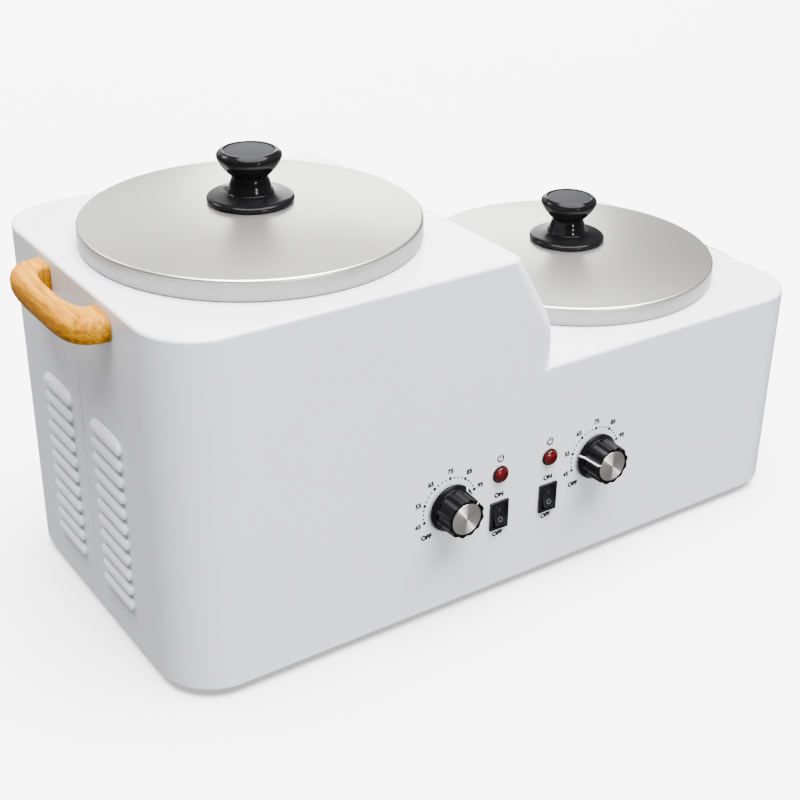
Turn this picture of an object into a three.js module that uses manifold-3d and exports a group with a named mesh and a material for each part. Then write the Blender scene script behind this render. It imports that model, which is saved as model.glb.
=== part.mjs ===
// Double wax warmer: a stepped sheet-steel casing with a tall pot on the left and a shallow pot
// on the right, each with its own heater, thermostat dial, rocker switch, pilot lamp and lid.
// Millimetres, +Z up, +X along the casing from the tall end to the low end, -Y towards the dials.
// Every shape is built about the middle of the casing, and the floor is at z = 0.

import * as THREE from 'three';
import { mergeVertices } from 'three/addons/utils/BufferGeometryUtils.js';
import Module from 'manifold-3d';

const wasm = await Module();
wasm.setup();

// Clearances and one overrun for every cut
const seatGap = 0.3;
const cutOverrun = 2;

// Casing
const highDeck = 254;
const lowDeck = 167;
const cornerRadius = 41;
const deckFillet = 4;
const wall = 1.2;
const stepWallFromMiddle = 20;
const stepTopFromMiddle = -11.5;
const lidToFront = 18.8;
const lidToEnd = 15.3;
const lidToStep = 5.3;
const stepCornerRadius = 10;
const stepArcRadius = 45;
const stepSlope = THREE.MathUtils.degToRad(29.4);
const lipWidth = 14;
const lipGusset = 62;
const seamWidth = 1.6;
const seamDepth = 0.5;
const seamFromFront = 138;

// Louvres pressed out of the side walls
const louvreLength = 46;
const louvreHeight = 7.6;
const louvreReach = 2.4;
const louvreShoulder = 5;
const louvrePitch = 12;
const louvreLowest = 30.5;
const louvreCutBelow = 0.6;
const louvreColumnsFromFront = [98, 178];
const louvreRowsHigh = 11;
const louvreRowsLow = 6;
const louvreEndShare = 0.3;
const louvreBulgeShares = [[0.8, 0.62]];

// Base plate, feet and their screws
const plateThickness = 1.2;
const ventLength = 40;
const ventWidth = 5;
const ventPitch = 12;
const ventCount = 4;
const footHeight = 8;
const footTopRadius = 13;
const footBottomRadius = 11.5;
const footInset = 34;
const footRecessRadius = 5.6;
const footRecessDepth = 4;
const footScrewRadius = 2;
const footScrewHeadRadius = 4;
const footScrewHeadHeight = 2.4;
const footScrewLength = 13;

// Wells, heater bands and pots
const wellAirGap = 2;
const wellWall = 1.2;
const wellFlangeReach = 8.8;
const wellDepthHigh = 185;
const wellDepthLow = 118;
const wellBottomFillet = 8;
const deckHoleGap = 1.3;
const bandThickness = 4;
const bandHeightHigh = 60;
const bandHeightLow = 45;
const bandAboveWellBottom = 12;
const bandGapAngle = THREE.MathUtils.degToRad(7);
const bandEarReach = 14;
const bandEarThickness = 3;
const bandScrewRadius = 2;
const bandScrewHeadRadius = 3.6;
const bandScrewHeadHeight = 2.6;
const bandScrewLength = 22;
const potRadius = 99;
const potWall = 1.5;
const potBottomGap = 3;
const potBottomFillet = 10;
const potRimReach = 9.5;
const potBeadHeight = 3.2;
const potBeadWidth = 2.6;

// Lids and their knobs
const lidRimGap = 7;
const lidRimHeight = 14.5;
const lidCrown = 10.2;
const lidWall = 1.2;
const lidFillet = 2;
const lidCrownShares = [0.72, 0.38];
const knobFlangeRadius = 29.75;
const knobHeight = 34.4;
const knobBoreRadius = 2.6;
const knobBoreDepth = 15;
const knobOutlineShares = [
  [0.84, 0], [0.965, -0.012], [1, 0.025], [0.93, 0.09], [0.66, 0.12], [0.515, 0.16],
  [0.475, 0.25], [0.42, 0.465], [0.53, 0.57], [0.65, 0.7], [0.74, 0.88], [0.715, 0.98],
  [0.675, 1], [0.62, 1], [0.6, 0.975],
];
const knobScrewRadius = 2.2;
const knobScrewHeadRadius = 4.6;
const knobScrewHeadHeight = 2.8;
const knobScrewLength = 15;

// Wooden handles
const handleScrewSpacing = 96;
const handleMiddleFromFront = 134;
const handleBelowHighDeck = 16;
const handleBelowLowDeck = 22;
const handleReach = 20;
const handleHalfHeight = 9.6;
const handleHalfThickness = 6.8;
const handleFootHalfWidth = 12.6;
const handleBowPower = 3.2;
const handleScrewRadius = 2;
const handleScrewHeadRadius = 4;
const handleScrewHeadHeight = 2.4;
const handleScrewLength = 15;
const handleBoreDepth = 15;

// Control panel, measured from the middle of the casing and from its lower edge
const panelShift = -2;
const dialSpread = 66;
const dialHeight = 81.6;
const switchSpread = 22.3;
const switchHeight = 60;
const lampSpread = 22.4;
const lampHeight = 93.5;

// Dial knobs with their aluminium caps
const dialStandoff = 2.2;
const dialSkirtRadius = 18;
const dialHeightOut = 18.3;
const dialGripRadius = 15.8;
const dialGripTopRadius = 14.6;
const dialFluteDepth = 1.1;
const dialFlutes = 12;
const dialSkirtThickness = 1.9;
const dialSkirtShoulder = 3.4;
const dialEdge = 0.9;
const dialHollowRadius = 12.5;
const dialHollowDepth = 6;
const dialBoreRadius = 3.3;
const dialBoreDepth = 14;
const capRadius = 11.9;
const capThickness = 1;
const capDomeHeight = 0.3;

// Thermostats with their shafts, ring nuts and sensing bulbs
const thermostatWidth = 34;
const thermostatTall = 40;
const thermostatDepth = 24;
const thermostatCorner = 4;
const thermostatBossRadius = 13;
const thermostatBossDepth = 4;
const bushingRadius = 4.8;
const bushingOut = 4;
const bushingBoreDepth = 14;
const shaftRadius = 3;
const nutRadius = 8;
const nutThickness = 2.5;
const spadeWidth = 6.3;
const spadeThickness = 0.8;
const spadeLength = 8;
const spadeSpacing = 16;
const bulbRadius = 3.2;
const bulbLengthHigh = 56;
const bulbLengthLow = 34;
const bulbAboveBand = 16;
const bulbAngle = THREE.MathUtils.degToRad(48);
const capillaryRadius = 1.2;
const capillaryRise = 8;

// Rocker switches
const switchWidth = 16;
const switchTall = 23;
const bezelThickness = 1.9;
const bezelEdge = 1.2;
const switchBodyWidth = 12.8;
const switchBodyTall = 19;
const switchBodyDepth = 15;
const pocketWidth = 10.9;
const pocketTall = 17.5;
const pocketDepth = 11;
const rockerWidth = 10.2;
const rockerTall = 15.2;
const rockerPivotDepth = 2;
const rockerDishOut = 3.7;
const rockerEndOut = 5.4;
const rockerBackIn = 1.2;
const rockerBelly = 5;
const rockerTilt = THREE.MathUtils.degToRad(10);
const trunnionRadius = 1.1;
const trunnionOut = 0.7;

// Pilot lamps
const lampBezelRadius = 6.7;
const lampBezelThickness = 1.6;
const lampBarrelRadius = 4.8;
const lampBarrelDepth = 18;
const lampPocketRadius = 5.6;
const lampPocketDepth = 0.9;
const lampBoreRadius = 3.4;
const lampBoreDepth = 12;
const lensRadius = 5.3;
const lensHeight = 3.6;
const lensStemRadius = 3;
const lensStemDepth = 8;
const lensOutlineShares = [[1, 0.35], [0.94, 0.62], [0.78, 0.84], [0.5, 0.96]];

// Mains inlet on the rear wall, its pins and screws, and the terminal block inside
const inletHeight = 42;
const inletFlangeWidth = 50;
const inletFlangeTall = 24;
const inletFlangeThickness = 2.5;
const inletFlangeCorner = 6;
const inletBodyWidth = 28;
const inletBodyTall = 20.5;
const inletBodyDepth = 20;
const inletSocketWidth = 24.4;
const inletSocketTall = 16.6;
const inletSocketDepth = 16;
const inletChamfer = 4.5;
const pinWidth = 2;
const pinTall = 4;
const pinOut = 12;
const pinIn = 12;
const pinSpacing = 7;
const earthPinRise = 2;
const linePinDrop = 2;
const inletScrewSpacing = 20;
const inletScrewRadius = 1.5;
const inletScrewHeadRadius = 2.8;
const inletScrewLength = 8;
const blockLength = 62;
const blockWidth = 20;
const blockTall = 15;
const blockPoles = 4;
const blockNotch = 4;
const blockWall = 2;
const blockFromMiddle = 62;

// Facet counts
const cornerSteps = 6;
const arcSteps = 3;
const lidSegments = 32;
const potSegments = 28;
const bandSegments = 14;
const holeSegments = 36;
const knobSegments = 20;
const gripSegments = 36;
const smallSegments = 12;
const screwSegments = 8;
const trunnionSegments = 8;
const bowSteps = 16;
const bowSides = 10;
const capillarySteps = 14;
const capillarySides = 3;

// Sizes that follow from the pot: its well, its lid and the casing round them
const potRimRadius = potRadius + potRimReach;
const wellRadius = potRadius + wellAirGap + wellWall;
const wellFlangeRadius = wellRadius + wellFlangeReach;
const lidRadius = potRimRadius + lidRimGap + lidWall;
const wellFromEnd = lidRadius + lidToEnd;
const caseDepth = 2 * (lidRadius + lidToFront);
const caseLength = 2 * (stepWallFromMiddle + lidToStep + lidRadius + wellFromEnd);

// Levels and places that follow from the sizes above
const caseBottom = footHeight + seatGap;
const frontWall = -caseDepth / 2;
const rearWall = caseDepth / 2;
const leftWall = -caseLength / 2;
const rightWall = caseLength / 2;
const wellInner = wellRadius - wellWall;
const deckHole = wellRadius + deckHoleGap;
const dialFront = dialStandoff + dialHeightOut + capDomeHeight;
const rearReach = seatGap + inletFlangeThickness;
const middleShift = (dialFront - rearReach) / 2;
const bandInner = (wellRadius + seatGap) / Math.cos(Math.PI / bandSegments / 2);
const shaftEnd = wall + bushingOut - bushingBoreDepth + seatGap;

const whiteEnamel = { color: 0xe9eaec, roughness: 0.35, metalness: 0.1 };
const galvanised = { color: 0xa9adb0, roughness: 0.5, metalness: 0.7 };
const blackRubber = { color: 0x1c1c1d, roughness: 0.85, metalness: 0 };
const steelScrew = { color: 0xb8babd, roughness: 0.35, metalness: 0.9 };
const honeyWood = { color: 0xd39a45, roughness: 0.4, metalness: 0 };
const brushedAluminium = { color: 0xcfcfcb, roughness: 0.4, metalness: 0.9 };
const micaBand = { color: 0x8f8a7c, roughness: 0.6, metalness: 0.5 };
const blackBakelite = { color: 0x17171a, roughness: 0.18, metalness: 0 };
const blackNylon = { color: 0x1b1b1d, roughness: 0.45, metalness: 0 };
const brass = { color: 0xb99a55, roughness: 0.35, metalness: 0.9 };
const copper = { color: 0xb87748, roughness: 0.35, metalness: 0.9 };
const redLens = { color: 0x7c1018, roughness: 0.15, metalness: 0 };
const creamNylon = { color: 0xe8e2d0, roughness: 0.55, metalness: 0 };

// Turns a closed three.js geometry into a solid whose faces point out
function solid(source) {
  const geometry = source.clone();
  geometry.deleteAttribute('normal');
  geometry.deleteAttribute('uv');
  const merged = mergeVertices(geometry);
  const points = merged.attributes.position.array;
  const index = Array.from(merged.index.array);
  const corner = (vertex) => new THREE.Vector3().fromArray(points, 3 * vertex);
  const triangles = [];
  let volume = 0;
  for (let start = 0; start < index.length; start += 3) {
    const [a, b, c] = index.slice(start, start + 3);
    if (a === b || b === c || c === a) {
      continue;
    }
    triangles.push([a, b, c]);
    volume += corner(a).dot(corner(b).cross(corner(c)));
  }
  const facing = volume > 0 ? triangles : triangles.map(([a, b, c]) => [a, c, b]);
  return new wasm.Manifold(new wasm.Mesh({
    numProp: 3,
    vertProperties: Float32Array.from(points),
    triVerts: Uint32Array.from(facing.flat()),
  }));
}

function join(first, ...others) {
  return others.reduce((whole, other) => whole.add(other), first);
}

function cut(body, ...tools) {
  return tools.reduce((left, tool) => left.subtract(tool), body);
}

function piece(name, body, finish) {
  const { vertProperties, triVerts } = body.getMesh();
  const geometry = new THREE.BufferGeometry();
  geometry.setAttribute('position', new THREE.BufferAttribute(vertProperties, 3));
  geometry.setIndex(new THREE.BufferAttribute(triVerts, 1));
  geometry.computeVertexNormals();
  const mesh = new THREE.Mesh(geometry, new THREE.MeshStandardMaterial(finish));
  mesh.name = name;
  return mesh;
}

// A turned shape about the Z axis, from an outline of [radius, height]
function turned(outline, segments) {
  const points = outline.map(([radius, height]) => new THREE.Vector2(radius, height));
  return new THREE.LatheGeometry(points, segments).rotateX(Math.PI / 2);
}

// A flat outline in X and Y, raised along Z
function prism(shape, height, curveSegments = arcSteps) {
  return new THREE.ExtrudeGeometry(shape, { depth: height, bevelEnabled: false, curveSegments });
}

function rod(radius, length, segments = screwSegments) {
  return new THREE.CylinderGeometry(radius, radius, length, segments)
    .rotateX(Math.PI / 2)
    .translate(0, 0, length / 2);
}

function block(width, depth, height) {
  return new THREE.BoxGeometry(width, depth, height).translate(0, 0, height / 2);
}

// Rotates a shape made along +Z so that it points out of the front or the rear wall
const toFront = (geometry) => geometry.rotateX(Math.PI / 2);
const toRear = (geometry) => geometry.rotateX(-Math.PI / 2).rotateY(Math.PI);
const toSide = (geometry, side) => geometry.rotateY(side * Math.PI / 2);

function roundedRectangle(width, tall, radius) {
  const shape = new THREE.Shape();
  const x = width / 2;
  const y = tall / 2;
  shape.moveTo(x - radius, -y);
  shape.absarc(x - radius, radius - y, radius, -Math.PI / 2, 0);
  shape.absarc(x - radius, y - radius, radius, 0, Math.PI / 2);
  shape.absarc(radius - x, y - radius, radius, Math.PI / 2, Math.PI);
  shape.absarc(radius - x, radius - y, radius, Math.PI, 1.5 * Math.PI);
  return shape;
}

// Joins rings of equal count, given from one end to the other, into a closed skin
function loft(rings) {
  const count = rings[0].length;
  const last = (rings.length - 1) * count;
  const index = [];
  for (let start = 0; start < last; start += count) {
    for (let side = 0; side < count; side += 1) {
      const next = (side + 1) % count;
      index.push(start + side, start + next, start + side + count);
      index.push(start + next, start + next + count, start + side + count);
    }
  }
  for (let side = 1; side < count - 1; side += 1) {
    index.push(0, side + 1, side, last, last + side, last + side + 1);
  }
  const geometry = new THREE.BufferGeometry().setFromPoints(rings.flat());
  geometry.setIndex(index);
  return geometry;
}

// One level of a casing block: a rectangle whose left and right corners have their own radii
function levelRing(rightEdge, rightRadius, inset, height) {
  const xs = [leftWall + inset, rightEdge - inset];
  const ys = [frontWall + inset, rearWall - inset];
  const left = cornerRadius - inset;
  const right = rightRadius - inset;
  const corners = [
    [xs[1] - right, ys[0] + right, right], [xs[1] - right, ys[1] - right, right],
    [xs[0] + left, ys[1] - left, left], [xs[0] + left, ys[0] + left, left],
  ];
  return corners.flatMap(([x, y, radius], turn) => {
    const arc = [];
    for (let step = 0; step <= cornerSteps; step += 1) {
      const angle = (turn - 1 + step / cornerSteps) * Math.PI / 2;
      arc.push(new THREE.Vector3(
        x + radius * Math.cos(angle), y + radius * Math.sin(angle), height,
      ));
    }
    return arc;
  });
}

// The levels of the rounded edge between a wall and a deck, inset by a wall for the inside
function edgeLevels(deck, inset) {
  const radius = deckFillet - inset;
  return [0, 1, 2, 3].map((step) => {
    const angle = step * Math.PI / 6;
    return [inset + radius * (1 - Math.cos(angle)), deck - deckFillet + radius * Math.sin(angle)];
  });
}

function lowBlock(inset, bottom) {
  const levels = [[inset, bottom], ...edgeLevels(lowDeck, inset)];
  return solid(loft(levels.map(([away, height]) => (
    levelRing(rightWall, cornerRadius, away, height)
  ))));
}

// The tall block ends in a wall that bends over into a slope below its deck
function highBlock(inset, bottom) {
  const stepWall = stepWallFromMiddle;
  const bendLength = stepArcRadius * Math.tan(stepSlope / 2);
  const kneeHeight = highDeck - (stepWallFromMiddle - stepTopFromMiddle) / Math.tan(stepSlope);
  const slopeAt = (height) => (
    stepWall - Math.max(0, height - kneeHeight) * Math.tan(stepSlope)
  );
  const rings = [levelRing(stepWall, stepCornerRadius, inset, bottom)];
  for (let step = 0; step <= 3; step += 1) {
    const angle = step * stepSlope / 3;
    const height = kneeHeight - bendLength + stepArcRadius * Math.sin(angle);
    const edge = stepWall - stepArcRadius * (1 - Math.cos(angle));
    rings.push(levelRing(edge, stepCornerRadius, inset, height));
  }
  for (const [away, height] of edgeLevels(highDeck, inset)) {
    rings.push(levelRing(slopeAt(height), stepCornerRadius, away, height));
  }
  return solid(loft(rings));
}

// A louvre is a hood that swells out of the wall between two tapering ends
function louvreHood(side) {
  const half = louvreLength / 2;
  const shoulder = half - louvreShoulder;
  const ends = [[-half, louvreEndShare], [-shoulder, 1], [shoulder, 1], [half, louvreEndShare]];
  return solid(loft(ends.map(([y, size]) => [
    new THREE.Vector3(-side * wall / 2, y, 0),
    new THREE.Vector3(side * louvreReach * size, y, 0),
    ...louvreBulgeShares.map(([out, up]) => (
      new THREE.Vector3(side * louvreReach * out * size, y, louvreHeight * up * size)
    )),
    new THREE.Vector3(-side * wall / 2, y, louvreHeight * size),
  ])));
}

// The slot that opens the hood below and the wall behind it
function louvreSlot(side) {
  const half = louvreLength / 2 - louvreShoulder;
  return solid(loft([-half, half].map((y) => [
    new THREE.Vector3(-side * (wall + cutOverrun), y, -louvreCutBelow),
    new THREE.Vector3(side * (louvreReach - wall), y, -louvreCutBelow),
    new THREE.Vector3(-side * (wall + cutOverrun), y, louvreHeight),
  ])));
}

function louvredWall(body, side, rows) {
  const hood = louvreHood(side);
  const hollow = louvreSlot(side);
  let walled = body;
  for (const fromFront of louvreColumnsFromFront) {
    for (let row = 0; row < rows; row += 1) {
      const place = [
        side * caseLength / 2, frontWall + fromFront, louvreLowest + row * louvrePitch,
      ];
      walled = walled.add(hood.translate(place)).subtract(hollow.translate(place));
    }
  }
  return walled;
}

// The lip that turns in at the foot of the walls, with a gusset at each corner for a foot
function lip() {
  const outer = levelRing(rightWall, cornerRadius, wall / 2, 0)
    .map((point) => new THREE.Vector2(point.x, point.y));
  const x = rightWall - wall - lipWidth;
  const y = rearWall - wall - lipWidth;
  const opening = new THREE.Path([
    [x - lipGusset, -y], [x, lipGusset - y], [x, y - lipGusset], [x - lipGusset, y],
    [lipGusset - x, y], [-x, y - lipGusset], [-x, lipGusset - y], [lipGusset - x, -y],
  ].map(([px, py]) => new THREE.Vector2(px, py)));
  const shape = new THREE.Shape(outer);
  shape.holes.push(opening);
  return solid(prism(shape, wall).translate(0, 0, plateThickness + seatGap));
}

const corners = [
  ['front_left', -1, -1], ['front_right', 1, -1], ['rear_left', -1, 1], ['rear_right', 1, 1],
];
const cornerPlace = (x, y) => [x * (caseLength / 2 - footInset), y * (caseDepth / 2 - footInset)];
const handleEnds = [['front', -1], ['rear', 1]];
const handlePlaceY = (end) => frontWall + handleMiddleFromFront + end * handleScrewSpacing / 2;

const stations = [
  {
    name: 'left', side: -1, deck: highDeck, wellDepth: wellDepthHigh,
    bandHeight: bandHeightHigh, bulbLength: bulbLengthHigh, handleDrop: handleBelowHighDeck,
  },
  {
    name: 'right', side: 1, deck: lowDeck, wellDepth: wellDepthLow,
    bandHeight: bandHeightLow, bulbLength: bulbLengthLow, handleDrop: handleBelowLowDeck,
  },
];
const wellPlace = (side) => side * (caseLength / 2 - wellFromEnd);
const inletPlace = { x: 0, y: rearWall, z: inletHeight };

function casing() {
  let body = join(highBlock(0, 0), lowBlock(0, 0));
  body = cut(body, join(highBlock(wall, -cutOverrun), lowBlock(wall, -cutOverrun)));
  body = body.add(lip());
  body = louvredWall(body, -1, louvreRowsHigh);
  body = louvredWall(body, 1, louvreRowsLow);
  const holes = [];
  for (const { side, deck, handleDrop } of stations) {
    const deckCut = rod(deckHole, wall + 2 * cutOverrun, holeSegments);
    holes.push(solid(deckCut.translate(wellPlace(side), 0, deck - wall - cutOverrun)));
    const seam = block(2 * seamDepth, seamWidth, deck - deckFillet);
    holes.push(solid(seam.translate(side * caseLength / 2, frontWall + seamFromFront, 0)));
    const through = wall + 2 * cutOverrun;
    const y = frontWall + wall + cutOverrun;
    holes.push(solid(toFront(rod(bushingRadius + seatGap, through, smallSegments))
      .translate(panelShift + side * dialSpread, y, dialHeight)));
    holes.push(solid(toFront(rod(lampBarrelRadius + seatGap, through, smallSegments))
      .translate(panelShift + side * lampSpread, y, lampHeight)));
    const rockerCut = block(switchBodyWidth + 2 * seatGap, through, switchBodyTall + 2 * seatGap);
    holes.push(solid(rockerCut.translate(
      panelShift + side * switchSpread, frontWall,
      switchHeight - switchBodyTall / 2 - seatGap,
    )));
    for (const [, end] of handleEnds) {
      const bore = toSide(rod(handleScrewRadius + seatGap, through), -side);
      holes.push(solid(bore.translate(
        side * (caseLength / 2 + cutOverrun), handlePlaceY(end), deck - handleDrop,
      )));
    }
    const inletBore = toRear(rod(inletScrewRadius + seatGap, through));
    holes.push(solid(inletBore.translate(
      side * inletScrewSpacing, rearWall - wall - cutOverrun, inletHeight,
    )));
  }
  const inletCut = block(
    inletBodyWidth + 2 * seatGap, 2 * (wall + cutOverrun), inletBodyTall + 2 * seatGap,
  );
  holes.push(solid(inletCut.translate(0, rearWall, inletHeight - inletBodyTall / 2 - seatGap)));
  for (const [, x, y] of corners) {
    holes.push(solid(rod(footScrewRadius + seatGap, wall + 2 * cutOverrun)
      .translate(...cornerPlace(x, y), plateThickness + seatGap - cutOverrun)));
  }
  return cut(body, ...holes);
}

function basePlate() {
  const edge = wall + seatGap;
  const outline = roundedRectangle(
    caseLength - 2 * edge, caseDepth - 2 * edge, cornerRadius - edge,
  );
  let plate = solid(prism(outline, plateThickness));
  const vent = solid(prism(
    roundedRectangle(ventLength, ventWidth, ventWidth / 2), plateThickness + 2 * cutOverrun, 1,
  ).translate(0, 0, -cutOverrun));
  for (const { side } of stations) {
    for (let row = 0; row < ventCount; row += 1) {
      const y = (row - (ventCount - 1) / 2) * ventPitch;
      plate = plate.subtract(vent.translate([wellPlace(side), y, 0]));
    }
  }
  for (const [, x, y] of corners) {
    plate = cut(plate, solid(rod(footScrewRadius + seatGap, plateThickness + 2 * cutOverrun)
      .translate(...cornerPlace(x, y), -cutOverrun)));
  }
  return plate;
}

function foot() {
  const body = solid(turned([
    [0, 0], [footBottomRadius, 0], [footTopRadius, footHeight], [0, footHeight],
  ], smallSegments));
  const recess = rod(footRecessRadius, footRecessDepth + cutOverrun);
  const bore = rod(footScrewRadius + seatGap, footHeight + 2 * cutOverrun);
  return cut(
    body, solid(recess.translate(0, 0, -cutOverrun)), solid(bore.translate(0, 0, -cutOverrun)),
  );
}

// A pan-head screw along +Z, with the seat of its head at z = 0
function screw(radius, headRadius, headHeight, length) {
  return turned([
    [0, -headHeight], [headRadius / 2, -headHeight], [headRadius, -headHeight / 2],
    [headRadius, 0], [radius, 0], [radius, length], [0, length],
  ], screwSegments);
}

// A drawn aluminium bucket that hangs by its flange; heights are from the deck
function well(depth) {
  const floor = seatGap - depth;
  const top = seatGap + wellWall;
  return solid(turned([
    [0, floor], [wellRadius - wellBottomFillet, floor], [wellRadius, floor + wellBottomFillet],
    [wellRadius, seatGap], [wellFlangeRadius, seatGap], [wellFlangeRadius, top],
    [wellInner, top], [wellInner, floor + wellWall + wellBottomFillet],
    [wellInner - wellBottomFillet, floor + wellWall], [0, floor + wellWall],
  ], potSegments));
}

// A ring round the well, open behind, with two ears that a screw draws together
function heaterBand(height) {
  const half = bandGapAngle / 2;
  const inner = bandInner;
  const outer = inner + bandThickness;
  const start = Math.PI / 2 + half;
  const end = Math.PI / 2 - half + 2 * Math.PI;
  const shape = new THREE.Shape();
  shape.absarc(0, 0, inner, start, end, false);
  const gapX = inner * Math.sin(half);
  const earOut = outer + bandEarReach;
  shape.lineTo(gapX, earOut);
  shape.lineTo(gapX + bandEarThickness, earOut);
  const earEnd = Math.asin((gapX + bandEarThickness) / outer);
  shape.absarc(0, 0, outer, Math.PI / 2 - earEnd + 2 * Math.PI, Math.PI / 2 + earEnd, true);
  shape.lineTo(-gapX - bandEarThickness, earOut);
  shape.lineTo(-gapX, earOut);
  const band = solid(prism(shape, height, bandSegments));
  const bore = toSide(rod(bandScrewRadius + seatGap, bandScrewLength), 1);
  return cut(band, solid(bore.translate(-bandScrewLength / 2, outer + bandEarReach / 2, height / 2)));
}

// The pot hangs in the well by its rim; heights are from the deck
function pot(depth) {
  const seat = 2 * seatGap + wellWall;
  const floor = seatGap - depth + wellWall + potBottomGap;
  const inner = potRadius - potWall;
  const rimTop = seat + potWall;
  const beadTop = seat + potBeadHeight;
  return solid(turned([
    [0, floor], [potRadius - potBottomFillet, floor], [potRadius, floor + potBottomFillet],
    [potRadius, seat], [potRimRadius, seat], [potRimRadius, beadTop - potBeadWidth / 2],
    [potRimRadius - potBeadWidth / 2, beadTop], [potRimRadius - potBeadWidth, rimTop],
    [inner, rimTop], [inner, floor + potWall + potBottomFillet],
    [inner - potBottomFillet, floor + potWall], [0, floor + potWall],
  ], potSegments));
}

const crownAt = (radius) => lidCrown * (1 - (radius / (lidRadius - lidFillet)) ** 2);

// A spun lid: a straight rim turned down round the pot, a rolled edge and a low crown
function lid() {
  const inner = lidRadius - lidWall;
  const rimTop = seatGap + lidRimHeight;
  const shoulder = lidRadius - lidFillet;
  const rolled = (radius, angle) => [
    shoulder + radius * Math.cos(angle), rimTop - lidFillet + radius * Math.sin(angle),
  ];
  const crown = lidCrownShares.map((share) => share * shoulder);
  const hole = knobScrewRadius + seatGap;
  const over = [...crown, hole].map((radius) => [radius, rimTop + crownAt(radius)]);
  const under = over.map(([radius, height]) => [radius, height - lidWall]).reverse();
  const angles = [0, Math.PI / 4, Math.PI / 2];
  const outline = [
    [inner, seatGap], [lidRadius, seatGap],
    ...angles.map((angle) => rolled(lidFillet, angle)),
    ...over, ...under,
    ...[Math.PI / 2, 0].map((angle) => rolled(lidFillet - lidWall, angle)),
    [inner, seatGap],
  ];
  return solid(turned(outline, lidSegments));
}

function lidKnob() {
  const outline = knobOutlineShares.map(([out, up]) => [out * knobFlangeRadius, up * knobHeight]);
  const top = outline[outline.length - 1][1];
  return solid(turned([
    [0, knobBoreDepth], [knobBoreRadius, knobBoreDepth], [knobBoreRadius, 0],
    ...outline, [0, top],
  ], knobSegments));
}

// A bow of turned wood: wide feet on the wall that narrow into a rounded grip
function handle(side) {
  const rings = [];
  const section = (turn) => new THREE.Vector3(
    side * handleReach * Math.abs(Math.sin(turn)) ** (2 / handleBowPower),
    -Math.sign(Math.cos(turn)) * (handleScrewSpacing / 2)
      * Math.abs(Math.cos(turn)) ** (2 / handleBowPower),
    0,
  );
  for (let step = 0; step <= bowSteps; step += 1) {
    const turn = step * Math.PI / bowSteps;
    const nudge = Math.PI / bowSteps / bowSteps;
    const along = step === 0 || step === bowSteps
      ? new THREE.Vector3(step === 0 ? side : -side, 0, 0)
      : section(turn + nudge).sub(section(turn - nudge)).normalize();
    const across = new THREE.Vector3(-along.y, along.x, 0);
    const flare = Math.cos(turn) ** 2;
    const half = THREE.MathUtils.lerp(handleHalfThickness, handleFootHalfWidth, flare);
    const middle = section(turn);
    const ring = [];
    for (let face = 0; face < bowSides; face += 1) {
      const angle = face * 2 * Math.PI / bowSides;
      const point = middle.clone().addScaledVector(across, half * Math.cos(angle));
      point.z = handleHalfHeight * Math.sin(angle);
      point.x = side * Math.max(0, side * point.x);
      ring.push(point);
    }
    rings.push(ring);
  }
  let body = solid(loft(rings));
  for (const [, end] of handleEnds) {
    const bore = toSide(rod(handleScrewRadius + seatGap, handleBoreDepth + cutOverrun), side);
    body = cut(body, solid(bore.translate(
      -side * cutOverrun, end * handleScrewSpacing / 2, 0,
    )));
  }
  return body;
}

// A moulded dial knob: a round skirt, a fluted grip and a recess for its metal cap
function dialKnob() {
  const recess = dialHeightOut - capThickness;
  const geometry = turned([
    [0, 0], [dialSkirtRadius, 0], [dialSkirtRadius, dialSkirtThickness],
    [dialGripRadius + dialEdge, dialSkirtShoulder], [dialGripRadius, dialSkirtShoulder + dialEdge],
    [dialGripTopRadius, dialHeightOut - dialEdge], [dialGripTopRadius - dialEdge, dialHeightOut],
    [0, dialHeightOut],
  ], gripSegments);
  const position = geometry.attributes.position;
  for (let vertex = 0; vertex < position.count; vertex += 1) {
    const point = new THREE.Vector3().fromBufferAttribute(position, vertex);
    const radius = Math.hypot(point.x, point.y);
    if (point.z > dialSkirtShoulder + dialEdge / 2 && radius > capRadius + dialEdge) {
      const scallop = Math.max(0, Math.cos(dialFlutes * Math.atan2(point.y, point.x)));
      const share = 1 - dialFluteDepth * scallop / radius;
      position.setXY(vertex, point.x * share, point.y * share);
    }
  }
  return cut(
    solid(geometry),
    solid(rod(dialHollowRadius, dialHollowDepth + cutOverrun, smallSegments)
      .translate(0, 0, -cutOverrun)),
    solid(rod(dialBoreRadius, dialBoreDepth + cutOverrun).translate(0, 0, -cutOverrun)),
    solid(rod(capRadius + seatGap, capThickness + cutOverrun, knobSegments)
      .translate(0, 0, recess)),
  );
}

function dialCap() {
  return solid(turned([
    [0, seatGap], [capRadius, seatGap], [capRadius, capThickness], [capRadius / 2,
      capThickness + capDomeHeight / 2], [0, capThickness + capDomeHeight],
  ], knobSegments));
}

// Body, boss and threaded bushing, made along +Z with the panel's inner face at z = 0
function thermostat() {
  const back = -seatGap - thermostatBossDepth - thermostatDepth;
  const body = prism(
    roundedRectangle(thermostatWidth, thermostatTall, thermostatCorner), thermostatDepth, 2,
  );
  const boss = rod(thermostatBossRadius, thermostatBossDepth + thermostatDepth / 2, smallSegments);
  const bushing = rod(
    bushingRadius, thermostatBossDepth + wall + bushingOut + seatGap, smallSegments,
  );
  const spade = block(spadeThickness, spadeWidth, spadeLength + thermostatDepth / 2);
  const bore = rod(shaftRadius + seatGap, bushingBoreDepth + cutOverrun + bushingOut);
  const front = wall + bushingOut;
  return cut(
    join(
      solid(body.translate(0, 0, back)),
      solid(boss.translate(0, 0, -seatGap - thermostatBossDepth - thermostatDepth / 2)),
      solid(bushing.translate(0, 0, -seatGap - thermostatBossDepth)),
      ...[-1, 1].map((side) => (
        solid(spade.clone().translate(side * spadeSpacing / 2, 0, back - spadeLength))
      )),
    ),
    solid(bore.translate(0, 0, front - bushingBoreDepth)),
  );
}

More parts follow.
